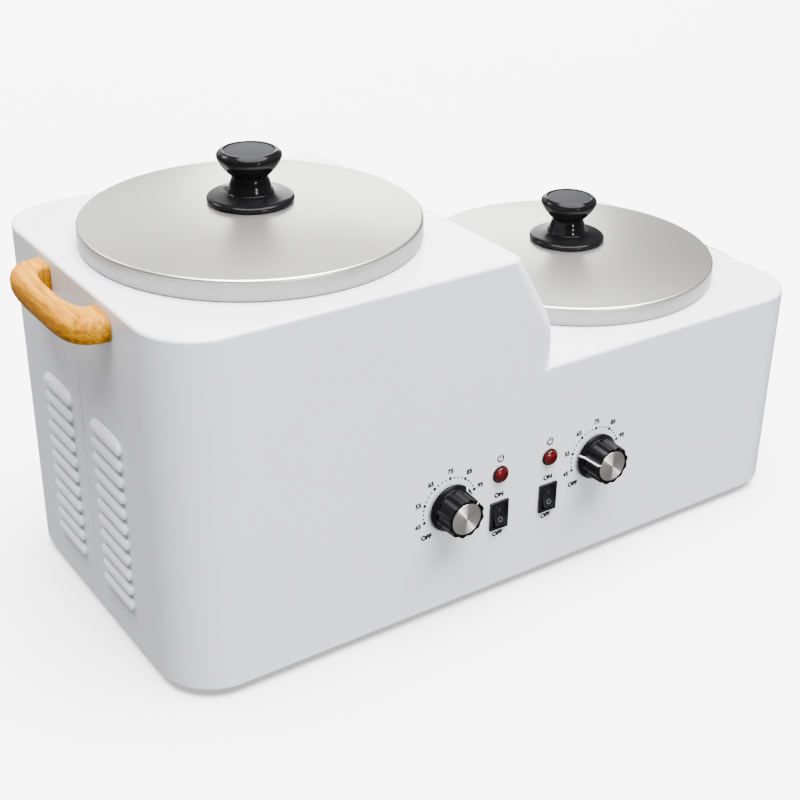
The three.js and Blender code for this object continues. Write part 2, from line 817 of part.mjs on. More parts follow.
// The sensing bulb stands against the well, and its thin tube runs down to the thermostat
function capillary({ side, bandHeight, bulbLength, deck, wellDepth }) {
  const wellX = wellPlace(side);
  const bandTop = deck + seatGap - wellDepth + bandAboveWellBottom + bandHeight;
  const bulbBottom = bandTop + bulbAboveBand;
  const reach = wellRadius + seatGap + bulbRadius;
  const bulbX = wellX - side * reach * Math.cos(bulbAngle);
  const bulbY = -reach * Math.sin(bulbAngle);
  const dialX = panelShift + side * dialSpread;
  const bodyY = frontWall + wall + seatGap + thermostatBossDepth + thermostatDepth / 2;
  const bodyTop = dialHeight + thermostatTall / 2 + seatGap;
  const path = new THREE.CatmullRomCurve3([
    new THREE.Vector3(dialX, bodyY, bodyTop),
    new THREE.Vector3(dialX, bodyY, bodyTop + capillaryRise),
    new THREE.Vector3(bulbX, bulbY, bulbBottom - capillaryRise),
    new THREE.Vector3(bulbX, bulbY, bulbBottom + bulbRadius),
  ]);
  const shape = new THREE.Shape();
  shape.absarc(0, 0, capillaryRadius, 0, 2 * Math.PI);
  const tube = new THREE.ExtrudeGeometry(shape, {
    extrudePath: path, steps: capillarySteps, curveSegments: capillarySides,
  });
  const bulb = rod(bulbRadius, bulbLength).translate(bulbX, bulbY, bulbBottom);
  return join(solid(tube), solid(bulb));
}

function ringNut() {
  const hex = new THREE.CylinderGeometry(nutRadius, nutRadius, nutThickness, 6)
    .rotateX(Math.PI / 2)
    .translate(0, 0, nutThickness / 2);
  const bore = rod(bushingRadius + seatGap, nutThickness + 2 * cutOverrun, smallSegments);
  return cut(solid(hex), solid(bore.translate(0, 0, -cutOverrun)));
}

// Bezel and body of a rocker switch, made along +Z with the panel's outer face at z = 0
function switchFrame() {
  const bezel = prism(roundedRectangle(switchWidth, switchTall, bezelEdge), bezelThickness, 1);
  const body = new THREE.BoxGeometry(switchBodyWidth, switchBodyTall, switchBodyDepth)
    .translate(0, 0, seatGap + bezelThickness / 2 - switchBodyDepth / 2);
  const face = seatGap + bezelThickness;
  const pocket = new THREE.BoxGeometry(pocketWidth, pocketTall, pocketDepth + cutOverrun)
    .translate(0, 0, face + (cutOverrun - pocketDepth) / 2);
  const across = switchBodyWidth + 2 * cutOverrun;
  const bore = toSide(rod(trunnionRadius + seatGap, across, trunnionSegments), 1)
    .translate(-across / 2, 0, -rockerPivotDepth);
  return cut(
    join(solid(bezel.translate(0, 0, seatGap)), solid(body)), solid(pocket), solid(bore),
  );
}

// The rocker's side outline, dished in front, extruded across; its pivot is the origin
function rocker() {
  const half = rockerTall / 2;
  const shape = new THREE.Shape();
  shape.moveTo(0, rockerDishOut);
  shape.lineTo(half, rockerEndOut);
  shape.lineTo(half, -rockerBackIn);
  shape.lineTo(rockerBelly, -rockerBackIn);
  shape.absarc(0, -rockerBackIn, rockerBelly, 0, -Math.PI, true);
  shape.lineTo(-half, -rockerBackIn);
  shape.lineTo(-half, rockerEndOut);
  const key = prism(shape, rockerWidth).translate(0, 0, -rockerWidth / 2);
  const across = pocketWidth + 2 * trunnionOut;
  const trunnion = rod(trunnionRadius, across, trunnionSegments).translate(0, 0, -across / 2);
  return join(solid(key), solid(trunnion)).rotate([0, -90, 180]);
}

// Lamp barrel and bezel, made along +Z with the panel's outer face at z = 0
function lampHolder() {
  const face = seatGap + lampBezelThickness;
  const barrel = rod(lampBarrelRadius, lampBarrelDepth + face, smallSegments);
  return cut(
    join(
      solid(turned([
        [0, seatGap], [lampBezelRadius, seatGap], [lampBezelRadius, face / 2],
        [lampBezelRadius - lampBezelThickness / 2, face], [0, face],
      ], knobSegments)),
      solid(barrel.translate(0, 0, -lampBarrelDepth)),
    ),
    solid(rod(lampPocketRadius, lampPocketDepth + cutOverrun, smallSegments)
      .translate(0, 0, face - lampPocketDepth)),
    solid(rod(lampBoreRadius, lampBoreDepth + cutOverrun).translate(0, 0, face - lampBoreDepth)),
  );
}

function lampLens() {
  return solid(turned([
    [0, -lensStemDepth], [lensStemRadius, -lensStemDepth], [lensStemRadius, 0], [lensRadius, 0],
    ...lensOutlineShares.map(([out, up]) => [out * lensRadius, up * lensHeight]),
    [0, lensHeight],
  ], smallSegments));
}

// The inlet's outline has its two upper corners cut off
function inletOutline(width, tall, chamfer) {
  const x = width / 2;
  const y = tall / 2;
  return new THREE.Shape([
    [-x, -y], [x, -y], [x, y - chamfer], [x - chamfer, y], [chamfer - x, y], [-x, y - chamfer],
  ].map(([px, py]) => new THREE.Vector2(px, py)));
}

// Mains inlet, made along +Z with the wall's outer face at z = 0
function inlet() {
  const face = seatGap + inletFlangeThickness;
  const flange = prism(
    roundedRectangle(inletFlangeWidth, inletFlangeTall, inletFlangeCorner),
    inletFlangeThickness, 3,
  );
  const body = prism(
    inletOutline(inletBodyWidth, inletBodyTall, inletChamfer), inletBodyDepth, 1,
  );
  const socket = prism(
    inletOutline(inletSocketWidth, inletSocketTall, inletChamfer), inletSocketDepth + cutOverrun, 1,
  );
  const tools = [solid(socket.translate(0, 0, face - inletSocketDepth))];
  for (const [x, y] of pinPlaces) {
    const slot = block(pinWidth + 2 * seatGap, pinTall + 2 * seatGap, inletBodyDepth);
    tools.push(solid(slot.translate(x, y, face - inletSocketDepth - inletBodyDepth / 2)));
  }
  for (const side of [-1, 1]) {
    tools.push(solid(rod(inletScrewRadius + seatGap, face + cutOverrun)
      .translate(side * inletScrewSpacing, 0, 0)));
    tools.push(solid(turned([
      [0, face - inletScrewHeadRadius - seatGap], [inletScrewHeadRadius + seatGap, face],
      [inletScrewHeadRadius + seatGap, face + cutOverrun], [0, face + cutOverrun],
    ], screwSegments).translate(side * inletScrewSpacing, 0, 0)));
  }
  return cut(
    join(
      solid(flange.translate(0, 0, seatGap)),
      solid(body.translate(0, 0, face - inletBodyDepth)),
    ),
    ...tools,
  );
}

const pinPlaces = [[-pinSpacing, -linePinDrop], [0, earthPinRise], [pinSpacing, -linePinDrop]];
const pinNames = ['line', 'earth', 'neutral'];

function inletPin() {
  const pin = block(pinWidth, pinTall, pinOut + pinIn);
  const bottom = seatGap + inletFlangeThickness - inletSocketDepth;
  return solid(pin.translate(0, 0, bottom - pinIn));
}

function inletScrew() {
  const face = seatGap + inletFlangeThickness;
  return solid(turned([
    [0, face - inletScrewLength], [inletScrewRadius, face - inletScrewLength],
    [inletScrewRadius, face - inletScrewHeadRadius + inletScrewRadius],
    [inletScrewHeadRadius, face], [0, face],
  ], screwSegments));
}

// A strip of terminals, with a notch between each pair of poles
function terminalBlock() {
  const pitch = (blockLength - blockWall) / blockPoles;
  let strip = solid(block(blockLength, blockWidth, blockTall));
  for (let pole = 0; pole < blockPoles; pole += 1) {
    const x = blockWall - blockLength / 2 + (pole + 1 / 2) * pitch - blockWall / 2;
    for (const side of [-1, 1]) {
      const notch = block(pitch - blockWall, blockWidth / 2, blockTall);
      strip = cut(strip, solid(notch.translate(
        x, side * (blockWidth / 2), blockTall - blockNotch,
      )));
    }
    strip = cut(strip, solid(rod(blockWall, blockTall / 2 + cutOverrun, screwSegments)
      .translate(x, 0, blockTall / 2)));
  }
  return strip;
}

// Assembly: the fixed shell first, then each warming station with what lifts and turns on it
const warmer = new THREE.Group();
warmer.position.y = middleShift;
const shell = new THREE.Group();
shell.position.z = caseBottom;
warmer.add(shell);
shell.add(piece('casing', casing(), whiteEnamel));
shell.add(piece('base_plate', basePlate(), galvanised));

function place(mesh, x, y, z) {
  mesh.position.set(x, y, z);
  return mesh;
}

for (const [name, x, y] of corners) {
  const [px, py] = cornerPlace(x, y);
  warmer.add(place(piece(`foot_${name}`, foot(), blackRubber), px, py, 0));
  const footScrew = solid(screw(
    footScrewRadius, footScrewHeadRadius, footScrewHeadHeight, footScrewLength,
  ));
  const seat = footRecessDepth - seatGap;
  warmer.add(place(piece(`foot_screw_${name}`, footScrew, steelScrew), px, py, seat));
}

for (const station of stations) {
  const { name, side, deck, wellDepth, bandHeight } = station;
  const tower = new THREE.Group();
  tower.position.set(wellPlace(side), 0, deck);
  shell.add(tower);
  tower.add(piece(`${name}_well`, well(wellDepth), brushedAluminium));
  const bandBottom = seatGap - wellDepth + bandAboveWellBottom;
  tower.add(place(piece(`${name}_heater_band`, heaterBand(bandHeight), micaBand), 0, 0, bandBottom));
  const earX = bandInner * Math.sin(bandGapAngle / 2) + bandEarThickness + seatGap;
  const earY = bandInner + bandThickness + bandEarReach / 2;
  const bandScrew = solid(toSide(
    screw(bandScrewRadius, bandScrewHeadRadius, bandScrewHeadHeight, bandScrewLength), 1,
  ));
  tower.add(place(
    piece(`${name}_band_screw`, bandScrew, steelScrew), -earX, earY,
    bandBottom + bandHeight / 2,
  ));
  tower.add(piece(`${name}_pot`, pot(wellDepth), brushedAluminium));
  tower.add(piece(`${name}_lid`, lid(), brushedAluminium));
  const crownTop = seatGap + lidRimHeight + lidCrown;
  tower.add(place(piece(`${name}_lid_knob`, lidKnob(), blackBakelite), 0, 0, crownTop + seatGap));
  const knobScrew = solid(screw(
    knobScrewRadius, knobScrewHeadRadius, knobScrewHeadHeight, knobScrewLength,
  ));
  tower.add(place(
    piece(`${name}_lid_knob_screw`, knobScrew, steelScrew), 0, 0, crownTop - lidWall - seatGap,
  ));
  const handlePiece = piece(`${name}_handle`, handle(side), honeyWood);
  const handleHeight = deck - station.handleDrop;
  const handleY = frontWall + handleMiddleFromFront;
  shell.add(place(handlePiece, side * (caseLength / 2 + seatGap), handleY, handleHeight));
  for (const [end, way] of handleEnds) {
    const bolt = solid(toSide(screw(
      handleScrewRadius, handleScrewHeadRadius, handleScrewHeadHeight, handleScrewLength,
    ), side));
    shell.add(place(
      piece(`${name}_handle_screw_${end}`, bolt, steelScrew),
      side * (caseLength / 2 - wall - seatGap), handlePlaceY(way), handleHeight,
    ));
  }
  const dialX = panelShift + side * dialSpread;
  const inside = frontWall + wall;
  shell.add(place(
    piece(`${name}_thermostat`, turnToFront(thermostat()), galvanised), dialX, inside, dialHeight,
  ));
  const shaft = toFront(rod(
    shaftRadius, wall + dialStandoff + dialBoreDepth - seatGap - shaftEnd,
  ));
  shell.add(place(
    piece(`${name}_dial_shaft`, solid(shaft), steelScrew), dialX, inside - shaftEnd, dialHeight,
  ));
  shell.add(place(
    piece(`${name}_thermostat_nut`, turnToFront(ringNut()), brass),
    dialX, frontWall - seatGap, dialHeight,
  ));
  shell.add(place(
    piece(`${name}_dial_knob`, turnToFront(dialKnob()), blackBakelite),
    dialX, frontWall - dialStandoff, dialHeight,
  ));
  shell.add(place(
    piece(`${name}_dial_cap`, turnToFront(dialCap()), brushedAluminium),
    dialX, frontWall - dialStandoff - dialHeightOut + capThickness, dialHeight,
  ));
  shell.add(piece(`${name}_sensing_bulb`, capillary(station), copper));
  const switchX = panelShift + side * switchSpread;
  shell.add(place(
    piece(`${name}_switch_frame`, turnToFront(switchFrame()), blackNylon),
    switchX, frontWall, switchHeight,
  ));
  const rockerPiece = piece(`${name}_rocker`, rocker(), blackNylon);
  rockerPiece.rotation.x = -rockerTilt;
  shell.add(place(rockerPiece, switchX, frontWall + rockerPivotDepth, switchHeight));
  const lampX = panelShift + side * lampSpread;
  shell.add(place(
    piece(`${name}_lamp_holder`, turnToFront(lampHolder()), blackNylon),
    lampX, frontWall, lampHeight,
  ));
  const lensSeat = seatGap + lampBezelThickness - lampPocketDepth + seatGap;
  shell.add(place(
    piece(`${name}_lamp_lens`, turnToFront(lampLens()), redLens),
    lampX, frontWall - lensSeat, lampHeight,
  ));
}

// Turns a solid made along +Z to point out of the front wall
function turnToFront(body) {
  return body.rotate([90, 0, 0]);
}

// Turns a solid made along +Z to point out of the rear wall, the right way up
function turnToRear(body) {
  return body.rotate([90, 0, 180]);
}

const rear = new THREE.Group();
rear.position.set(inletPlace.x, inletPlace.y, inletPlace.z);
shell.add(rear);
rear.add(piece('mains_inlet', turnToRear(inlet()), blackNylon));
pinPlaces.forEach(([x, y], order) => {
  rear.add(place(piece(`${pinNames[order]}_pin`, turnToRear(inletPin()), brass), -x, 0, y));
});
for (const [name, side] of [['left', -1], ['right', 1]]) {
  rear.add(place(
    piece(`inlet_screw_${name}`, turnToRear(inletScrew()), steelScrew),
    side * inletScrewSpacing, 0, 0,
  ));
}
shell.add(place(
  piece('terminal_block', terminalBlock(), creamNylon),
  0, blockFromMiddle, plateThickness + seatGap,
));

export default warmer;
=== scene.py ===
import math

import bmesh
import bpy
from mathutils import Matrix, Vector


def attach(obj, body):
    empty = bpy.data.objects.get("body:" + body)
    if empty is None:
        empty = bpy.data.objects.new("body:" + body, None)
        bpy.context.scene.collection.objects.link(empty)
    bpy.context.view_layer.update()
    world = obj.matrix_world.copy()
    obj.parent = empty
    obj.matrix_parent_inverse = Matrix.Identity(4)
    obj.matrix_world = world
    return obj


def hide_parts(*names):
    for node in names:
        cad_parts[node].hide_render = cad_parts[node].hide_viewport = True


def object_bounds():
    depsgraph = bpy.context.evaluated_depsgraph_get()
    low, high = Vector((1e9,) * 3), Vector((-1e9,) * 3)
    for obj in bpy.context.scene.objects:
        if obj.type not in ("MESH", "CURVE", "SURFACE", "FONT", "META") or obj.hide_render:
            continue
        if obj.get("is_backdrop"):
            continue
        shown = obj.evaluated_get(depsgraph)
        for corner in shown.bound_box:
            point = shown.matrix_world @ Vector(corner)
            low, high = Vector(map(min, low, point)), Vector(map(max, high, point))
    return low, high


mm = 0.001

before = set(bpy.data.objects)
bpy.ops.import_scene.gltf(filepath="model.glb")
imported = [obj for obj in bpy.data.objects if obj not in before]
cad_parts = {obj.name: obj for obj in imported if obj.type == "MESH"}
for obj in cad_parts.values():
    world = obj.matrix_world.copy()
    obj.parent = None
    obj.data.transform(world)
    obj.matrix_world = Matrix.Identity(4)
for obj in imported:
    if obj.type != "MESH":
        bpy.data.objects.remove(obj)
cadBox = [list(corner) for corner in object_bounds()]
bpy.ops.object.select_all(action="DESELECT")

# The casing stands on its feet. Its middle lies a little behind the origin, because the dials
# reach further out of the front than the mains socket does out of the rear.
casing = {
    "length": 548, "depth": 271, "highDeck": 254, "lowDeck": 167, "wall": 1.2,
    "stepWall": 20, "stepTop": -11.5, "stepSlope": 29.4, "stepArc": 45,
    "cornerRadius": 41, "stepCorner": 10, "deckEdge": 2.8,
    "bottom": 8.3, "middle": 9.0, "wellSide": 142, "wellHole": 103.5, "gap": 0.3,
    "switchHole": (13.4, 19.6), "lampHole": 5.1, "dialHole": 5.1, "socketHole": (28.6, 21.1),
    "seam": (137.2, 138.8), "seamDepth": 0.5, "openBelow": 5, "cutReach": 4, "wellReach": 6,
}
endWall = casing["length"] / 2
frontWall = casing["middle"] - casing["depth"] / 2
rearWall = casing["middle"] + casing["depth"] / 2
lift, gap = casing["bottom"], casing["gap"]

panel = {
    "middle": -2, "dialSpread": 66, "dialHeight": 81.6, "switchSpread": 22.3, "switchHeight": 60,
    "lampSpread": 22.4, "lampHeight": 93.5, "socketHeight": 42,
}
sides = {
    "left": {"way": -1, "deck": casing["highDeck"], "wellDepth": 185, "pointer": 48, "rows": 11},
    "right": {"way": 1, "deck": casing["lowDeck"], "wellDepth": 118, "pointer": 162, "rows": 6},
}


def panelPlace(kind, way):  # x and z of a dial, switch or lamp on the front wall
    return panel["middle"] + way * panel[kind + "Spread"], lift + panel[kind + "Height"]


def overWell(way, height):
    return way * casing["wellSide"], casing["middle"], lift + height


def toLinear(code):
    channels = [int(code[start:start + 2], 16) / 255 for start in (0, 2, 4)]
    return [c / 12.92 if c <= 0.04045 else ((c + 0.055) / 1.055) ** 2.4 for c in channels] + [1]


def addNode(tree, kind, inputs=None, **settings):
    # an input is a value, a colour code, a socket, or a node for its first output in use
    made = tree.nodes.new("ShaderNode" + kind)
    for name, value in settings.items():
        setattr(made, name, value)
    for name, value in (inputs or {}).items():
        if isinstance(value, bpy.types.Node):
            value = [socket for socket in value.outputs if socket.enabled][0]
        if isinstance(value, bpy.types.NodeSocket):
            tree.links.new(value, made.inputs[name])
        else:
            made.inputs[name].default_value = toLinear(value) if isinstance(value, str) else value
    return made


def newMaterial(name):
    material = bpy.data.materials.new(name)
    material.use_nodes = True
    tree = material.node_tree
    tree.nodes.clear()
    return material, tree, addNode(tree, "TexCoord").outputs["Object"]


def finishMaterial(material, inputs):  # puts the finished surface on the output
    tree = material.node_tree
    addNode(tree, "OutputMaterial", {"Surface": addNode(tree, "BsdfPrincipled", inputs)})
    return material


def bakedEnamel():
    # Baked enamel on sheet steel: smooth and glossy, with the faint ripple of sprayed paint
    material, tree, place = newMaterial("bakedWhiteEnamel")
    cloud = addNode(tree, "TexNoise", {"Vector": place, "Scale": 9, "Detail": 2})
    tone = addNode(tree, "Mix", {"Factor": cloud, "A": "DADBE1", "B": "DEDFE5"}, data_type="RGBA")
    smear = addNode(tree, "TexNoise", {"Vector": place, "Scale": 40, "Detail": 3})
    rough = addNode(tree, "MapRange", {"Value": smear, "To Min": 0.2, "To Max": 0.3})
    ripple = addNode(tree, "TexNoise", {
        "Vector": place, "Scale": 1 / (2.2 * mm), "Detail": 1})  # ripples about 2 mm apart
    relief = addNode(tree, "Bump", {"Height": ripple, "Strength": 0.12, "Distance": 0.02 * mm})
    return finishMaterial(material, {
        "Base Color": tone, "Roughness": rough, "Normal": relief, "IOR": 1.5,
        "Coat Weight": 0.35, "Coat Roughness": 0.12})


def aboutCentre(tree, place, centre, plane):
    # a point seen from the centre, the same laid flat in a plane, and how far out that is
    local = addNode(tree, "Mapping", {"Vector": place, "Location": [-c * mm for c in centre]})
    flat = addNode(tree, "VectorMath", {0: local, 1: plane}, operation="MULTIPLY")
    return local, flat, addNode(tree, "VectorMath", {0: flat}, operation="LENGTH")


def spunAluminium(name, centre, tones=("B8B7B3", "CFCECA"), rough=(0.29, 0.39), rimTop=None):
    # Spun aluminium sheet: fine rings from the tool, and a matt grain that blurs what it mirrors.
    # A lid's rim keeps the sandy skin of the blank below the height rimTop.
    material, tree, place = newMaterial(name)
    local, _, reach = aboutCentre(tree, place, centre, (1, 1, 0))
    # Real rings are too fine to show, so they are drawn 0.9 mm apart
    rings = addNode(tree, "TexNoise", {
        "W": reach, "Scale": 1 / (0.9 * mm), "Detail": 3}, noise_dimensions="1D")
    grain = addNode(tree, "TexNoise", {
        "Vector": place, "Scale": 1 / (0.8 * mm), "Detail": 4, "Roughness": 0.7})
    both = addNode(tree, "Mix", {"Factor": 0.65, "A": rings, "B": grain}, data_type="FLOAT")
    tone = addNode(tree, "Mix", {"Factor": both, "A": tones[0], "B": tones[1]}, data_type="RGBA")
    gloss = addNode(tree, "MapRange", {"Value": both, "To Min": rough[0], "To Max": rough[1]})
    relief = addNode(tree, "Bump", {"Height": both, "Strength": 0.35, "Distance": 0.03 * mm})
    if rimTop is not None:
        height = addNode(tree, "SeparateXYZ", {"Vector": local}).outputs["Z"]
        share = addNode(tree, "MapRange", {
            "Value": height, "From Min": (rimTop - 1) * mm, "From Max": rimTop * mm,
            "To Min": 1, "To Max": 0})
        sand = addNode(tree, "TexNoise", {
            "Vector": place, "Scale": 1 / (1.1 * mm), "Detail": 3, "Roughness": 0.8})
        skin = addNode(tree, "Mix", {"Factor": sand, "A": "6F6E6B", "B": "C6C5C2"},
                       data_type="RGBA")
        tone = addNode(tree, "Mix", {"Factor": share, "A": tone, "B": skin}, data_type="RGBA")
        gloss = addNode(tree, "Mix", {"Factor": share, "A": gloss, "B": 0.62}, data_type="FLOAT")
    return finishMaterial(material, {
        "Base Color": tone, "Metallic": 1, "Roughness": gloss, "Normal": relief})


def turnedDisc(name, centre):
    # Face-turned aluminium: rings too fine to see, which fan the light out in bright sectors
    material, tree, place = newMaterial(name)
    _, flat, reach = aboutCentre(tree, place, centre, (1, 0, 1))
    rings = addNode(tree, "TexNoise", {
        "W": reach, "Scale": 1 / (0.35 * mm), "Detail": 2}, noise_dimensions="1D")
    tone = addNode(tree, "Mix", {"Factor": rings, "A": "D2D0CA", "B": "F0EEE9"}, data_type="RGBA")
    along = addNode(tree, "VectorMath", {0: flat}, operation="NORMALIZE")
    relief = addNode(tree, "Bump", {"Height": rings, "Strength": 0.25, "Distance": 0.01 * mm})
    return finishMaterial(material, {
        "Base Color": tone, "Metallic": 1, "Roughness": 0.36, "Anisotropic": 0.96,
        "Tangent": along, "Normal": relief})


def plainPlastic(name, tones, rough, grain, relief, ior=1.5):
    # Moulded, turned or printed: clouded a little in tone and gloss, with the grain of its skin
    material, tree, place = newMaterial(name)
    cloud = addNode(tree, "TexNoise", {"Vector": place, "Scale": 1 / (6 * mm), "Detail": 3})
    tone = addNode(tree, "Mix", {"Factor": cloud, "A": tones[0], "B": tones[1]}, data_type="RGBA")
    gloss = addNode(tree, "MapRange", {"Value": cloud, "To Min": rough[0], "To Max": rough[1]})
    pits = addNode(tree, "TexNoise", {"Vector": place, "Scale": 1 / (grain * mm), "Detail": 2})
    bump = addNode(tree, "Bump", {"Height": pits, "Strength": relief, "Distance": 0.03 * mm})
    return finishMaterial(material, {
        "Base Color": tone, "Roughness": gloss, "Normal": bump, "IOR": ior})


def varnishedWood():
    # Steamed beech under clear varnish: honey colour, long grain along the bow, wet highlights
    material, tree, place = newMaterial("varnishedBeech")
    grain = addNode(tree, "Mapping", {"Vector": place, "Scale": (1, 0.09, 1)})
    streaks = addNode(tree, "TexNoise", {
        "Vector": grain, "Scale": 1 / (2.4 * mm), "Detail": 5, "Roughness": 0.6,
        "Distortion": 0.4})
    colours = addNode(tree, "ValToRGB", {"Fac": streaks})
    for stop, at, code in zip(colours.color_ramp.elements, (0.32, 0.68), ("86520A", "C99512")):
        stop.position, stop.color = at, toLinear(code)
    cloud = addNode(tree, "TexNoise", {"Vector": place, "Scale": 38, "Detail": 2})
    warm = addNode(tree, "Mix", {"Factor": cloud, "A": colours, "B": "F0CE74"},
                   data_type="RGBA", blend_type="MULTIPLY")
    relief = addNode(tree, "Bump", {"Height": streaks, "Strength": 0.15, "Distance": 0.05 * mm})
    return finishMaterial(material, {
        "Base Color": warm, "Roughness": 0.42, "IOR": 1.08, "Normal": relief,
        "Coat Weight": 0.06, "Coat Roughness": 0.06})


def redLens():
    # Deep red moulded acrylic, faceted. Painted shade darkens it at the rim, and a painted glow
    # lightens each facet's centre where light would come back out
    material, tree, place = newMaterial("redAcrylicLens")
    cells = addNode(tree, "TexVoronoi", {"Vector": place, "Scale": 1 / (1.8 * mm)})
    # painted shade: the red turns near black where the lens curves away towards its rim
    paintedRimShadeMask = addNode(tree, "LayerWeight", {"Blend": 0.35}).outputs["Facing"]
    # painted glow: each facet is lighter at its centre and darker at its edges
    paintedFacetGlow = addNode(tree, "Mix", {"Factor": cells, "A": "62040C", "B": "240105"}, data_type="RGBA")
    rim = addNode(tree, "Mix", {"Factor": paintedRimShadeMask, "A": paintedFacetGlow, "B": "120103"}, data_type="RGBA")
    bump = addNode(tree, "Bump", {"Height": cells, "Strength": 0.4, "Distance": 0.2 * mm})
    return finishMaterial(material, {
        "Base Color": rim, "Roughness": 0.22, "IOR": 1.3, "Normal": bump,
        "Coat Weight": 0.1, "Coat Roughness": 0.03})


def plainMetal(name, tones, rough, patch, relief):
    # Plated, rolled or drawn: patches of crystal or of tool marks change its tone and gloss
    material, tree, place = newMaterial(name)
    cells = addNode(tree, "TexVoronoi", {"Vector": place, "Scale": 1 / (patch * mm)})
    cloud = addNode(tree, "TexNoise", {
        "Vector": place, "Scale": 1 / (patch * 0.4 * mm), "Detail": 3})
    both = addNode(tree, "Mix", {"Factor": 0.5, "A": cells, "B": cloud}, data_type="FLOAT")
    tone = addNode(tree, "Mix", {"Factor": both, "A": tones[0], "B": tones[1]}, data_type="RGBA")
    gloss = addNode(tree, "MapRange", {"Value": both, "To Min": rough[0], "To Max": rough[1]})
    bump = addNode(tree, "Bump", {"Height": cloud, "Strength": relief, "Distance": 0.05 * mm})
    return finishMaterial(material, {
        "Base Color": tone, "Metallic": 1, "Roughness": gloss, "Normal": bump})


enamel = bakedEnamel()
beech = varnishedWood()
acrylic = redLens()
# Turned and buffed: deep black with small sharp highlights
bakelite = plainPlastic("polishedBakelite", ("0A0A0B", "101011"), (0.1, 0.16), 0.8, 0.05, 1.15)
# Faced and left unpolished: a dull charcoal disc
satinBakelite = plainPlastic("satinBakelite", ("171718", "272729"), (0.5, 0.62), 0.9, 0.25, 1.15)
# Moulded in a grained tool, and in a polished one
switchAbs = plainPlastic("mouldedAbs", ("08080A", "0F0F11"), (0.3, 0.42), 0.5, 0.2, 1.3)
dialAbs = plainPlastic("glossyDialAbs", ("050506", "0B0B0C"), (0.2, 0.3), 0.7, 0.1, 1.2)
# Soft and chalky, with no highlight
rubber = plainPlastic("mouldedRubber", ("151516", "222223"), (0.75, 0.9), 0.6, 0.4)
# Waxy, a little yellow
creamNylon = plainPlastic("creamNylon", ("D9D0B8", "E9E3D0"), (0.4, 0.55), 0.6, 0.2)
# Thin flat ink, and paint pressed into grooves
ink = plainPlastic("screenPrintedInk", ("0E0F12", "17181C"), (0.5, 0.65), 0.4, 0.2, 1.3)
greyPaint = plainPlastic("greyFillPaint", ("696968", "7B7B7A"), (0.5, 0.6), 0.4, 0.2, 1.3)
whitePaint = plainPlastic("whiteFillPaint", ("E6E6E4", "F4F4F2"), (0.4, 0.5), 0.4, 0.2)
# Bright fine plating, and the broad grey spangle of hot-dipped sheet
zincSteel = plainMetal("zincPlatedSteel", ("A9ABAD", "CDCFD0"), (0.28, 0.4), 1.5, 0.2)
galvanised = plainMetal("galvanisedSheet", ("8D9194", "B9BDBF"), (0.38, 0.55), 9, 0.2)
# Browned a little by heat
bandSteel = plainMetal("rolledBandSteel", ("7F7A70", "A39C8E"), (0.42, 0.6), 6, 0.3)
# Drawn bar and tube: a soft shine
brass = plainMetal("drawnBrass", ("A98B45", "CDB06A"), (0.25, 0.38), 2, 0.2)
copper = plainMetal("drawnCopper", ("A4592F", "CC7F4E"), (0.28, 0.42), 2, 0.2)
print("materials made")


def named(name):
    piece = bpy.context.object
    piece.name = name
    piece.data.name = name
    return piece


def chooseAll():
    bpy.ops.mesh.select_all(action="SELECT")


def openPiece(piece):  # into edit mode, with all of the mesh selected
    bpy.ops.object.select_all(action="DESELECT")
    bpy.context.view_layer.objects.active = piece
    piece.select_set(True)
    bpy.ops.object.mode_set(mode="EDIT")
    chooseAll()
    return piece


def leavePiece():
    bpy.ops.object.mode_set(mode="OBJECT")


def choose(kind, test, along=None):  # selects what passes a test of its corners, in millimetres
    bpy.ops.mesh.select_mode(type=kind)
    bpy.ops.mesh.select_all(action="DESELECT")
    piece = bpy.context.object
    mesh = bmesh.from_edit_mesh(piece.data)
    matrix = piece.matrix_world
    where = {vert: (matrix @ vert.co) / mm for vert in mesh.verts}
    for item in {"VERT": mesh.verts, "EDGE": mesh.edges, "FACE": mesh.faces}[kind]:
        corners = [where[item]] if kind == "VERT" else [where[vert] for vert in item.verts]
        straight = along is None or abs((corners[1] - corners[0]).normalized()[along]) > 0.99
        if straight and all(test(corner) for corner in corners):
            item.select_set(True)
    mesh.select_flush_mode()
    bmesh.update_edit_mesh(piece.data)


# These act on what is selected, in metres
def drawOut(step):
    bpy.ops.mesh.extrude_region_move(TRANSFORM_OT_translate={"value": step})


def shift(step):
    bpy.ops.transform.translate(value=step)


def stretch(shares, centre):
    bpy.ops.transform.resize(value=shares, center_override=centre)


def swing(angle, axis, centre):
    bpy.ops.transform.rotate(value=angle, orient_axis=axis, center_override=centre)


def modify(piece, kind, **settings):  # adds a modifier and applies it
    if piece.mode == "EDIT":
        leavePiece()
    change = piece.modifiers.new(kind, kind)
    for name, value in settings.items():
        setattr(change, name, value)
    bpy.context.view_layer.objects.active = piece
    bpy.ops.object.modifier_apply(modifier=change.name)


def closePiece(piece, angle=30):
    chooseAll()
    bpy.ops.mesh.remove_doubles(threshold=0.002 * mm)
    bpy.ops.mesh.normals_make_consistent(inside=False)
    leavePiece()
    bpy.ops.object.transform_apply()
    bpy.ops.object.shade_smooth_by_angle(angle=math.radians(angle))
    return piece


def soften(piece, width, segments, limit):  # rounds the edges that are sharper than the limit
    modify(piece, "BEVEL", width=width * mm, segments=segments, angle_limit=math.radians(limit))


def boolean(piece, tool, operation):
    modify(piece, "BOOLEAN", operation=operation, solver="EXACT", object=tool)
    bpy.data.objects.remove(tool, do_unlink=True)


def joined(pieces, name):
    bpy.ops.object.select_all(action="DESELECT")
    for piece in pieces:
        piece.select_set(True)
    bpy.context.view_layer.objects.active = pieces[0]
    bpy.ops.object.join()
    return named(name)


def placed(name):  # applies the place of a new primitive
    bpy.ops.object.transform_apply()
    return named(name)


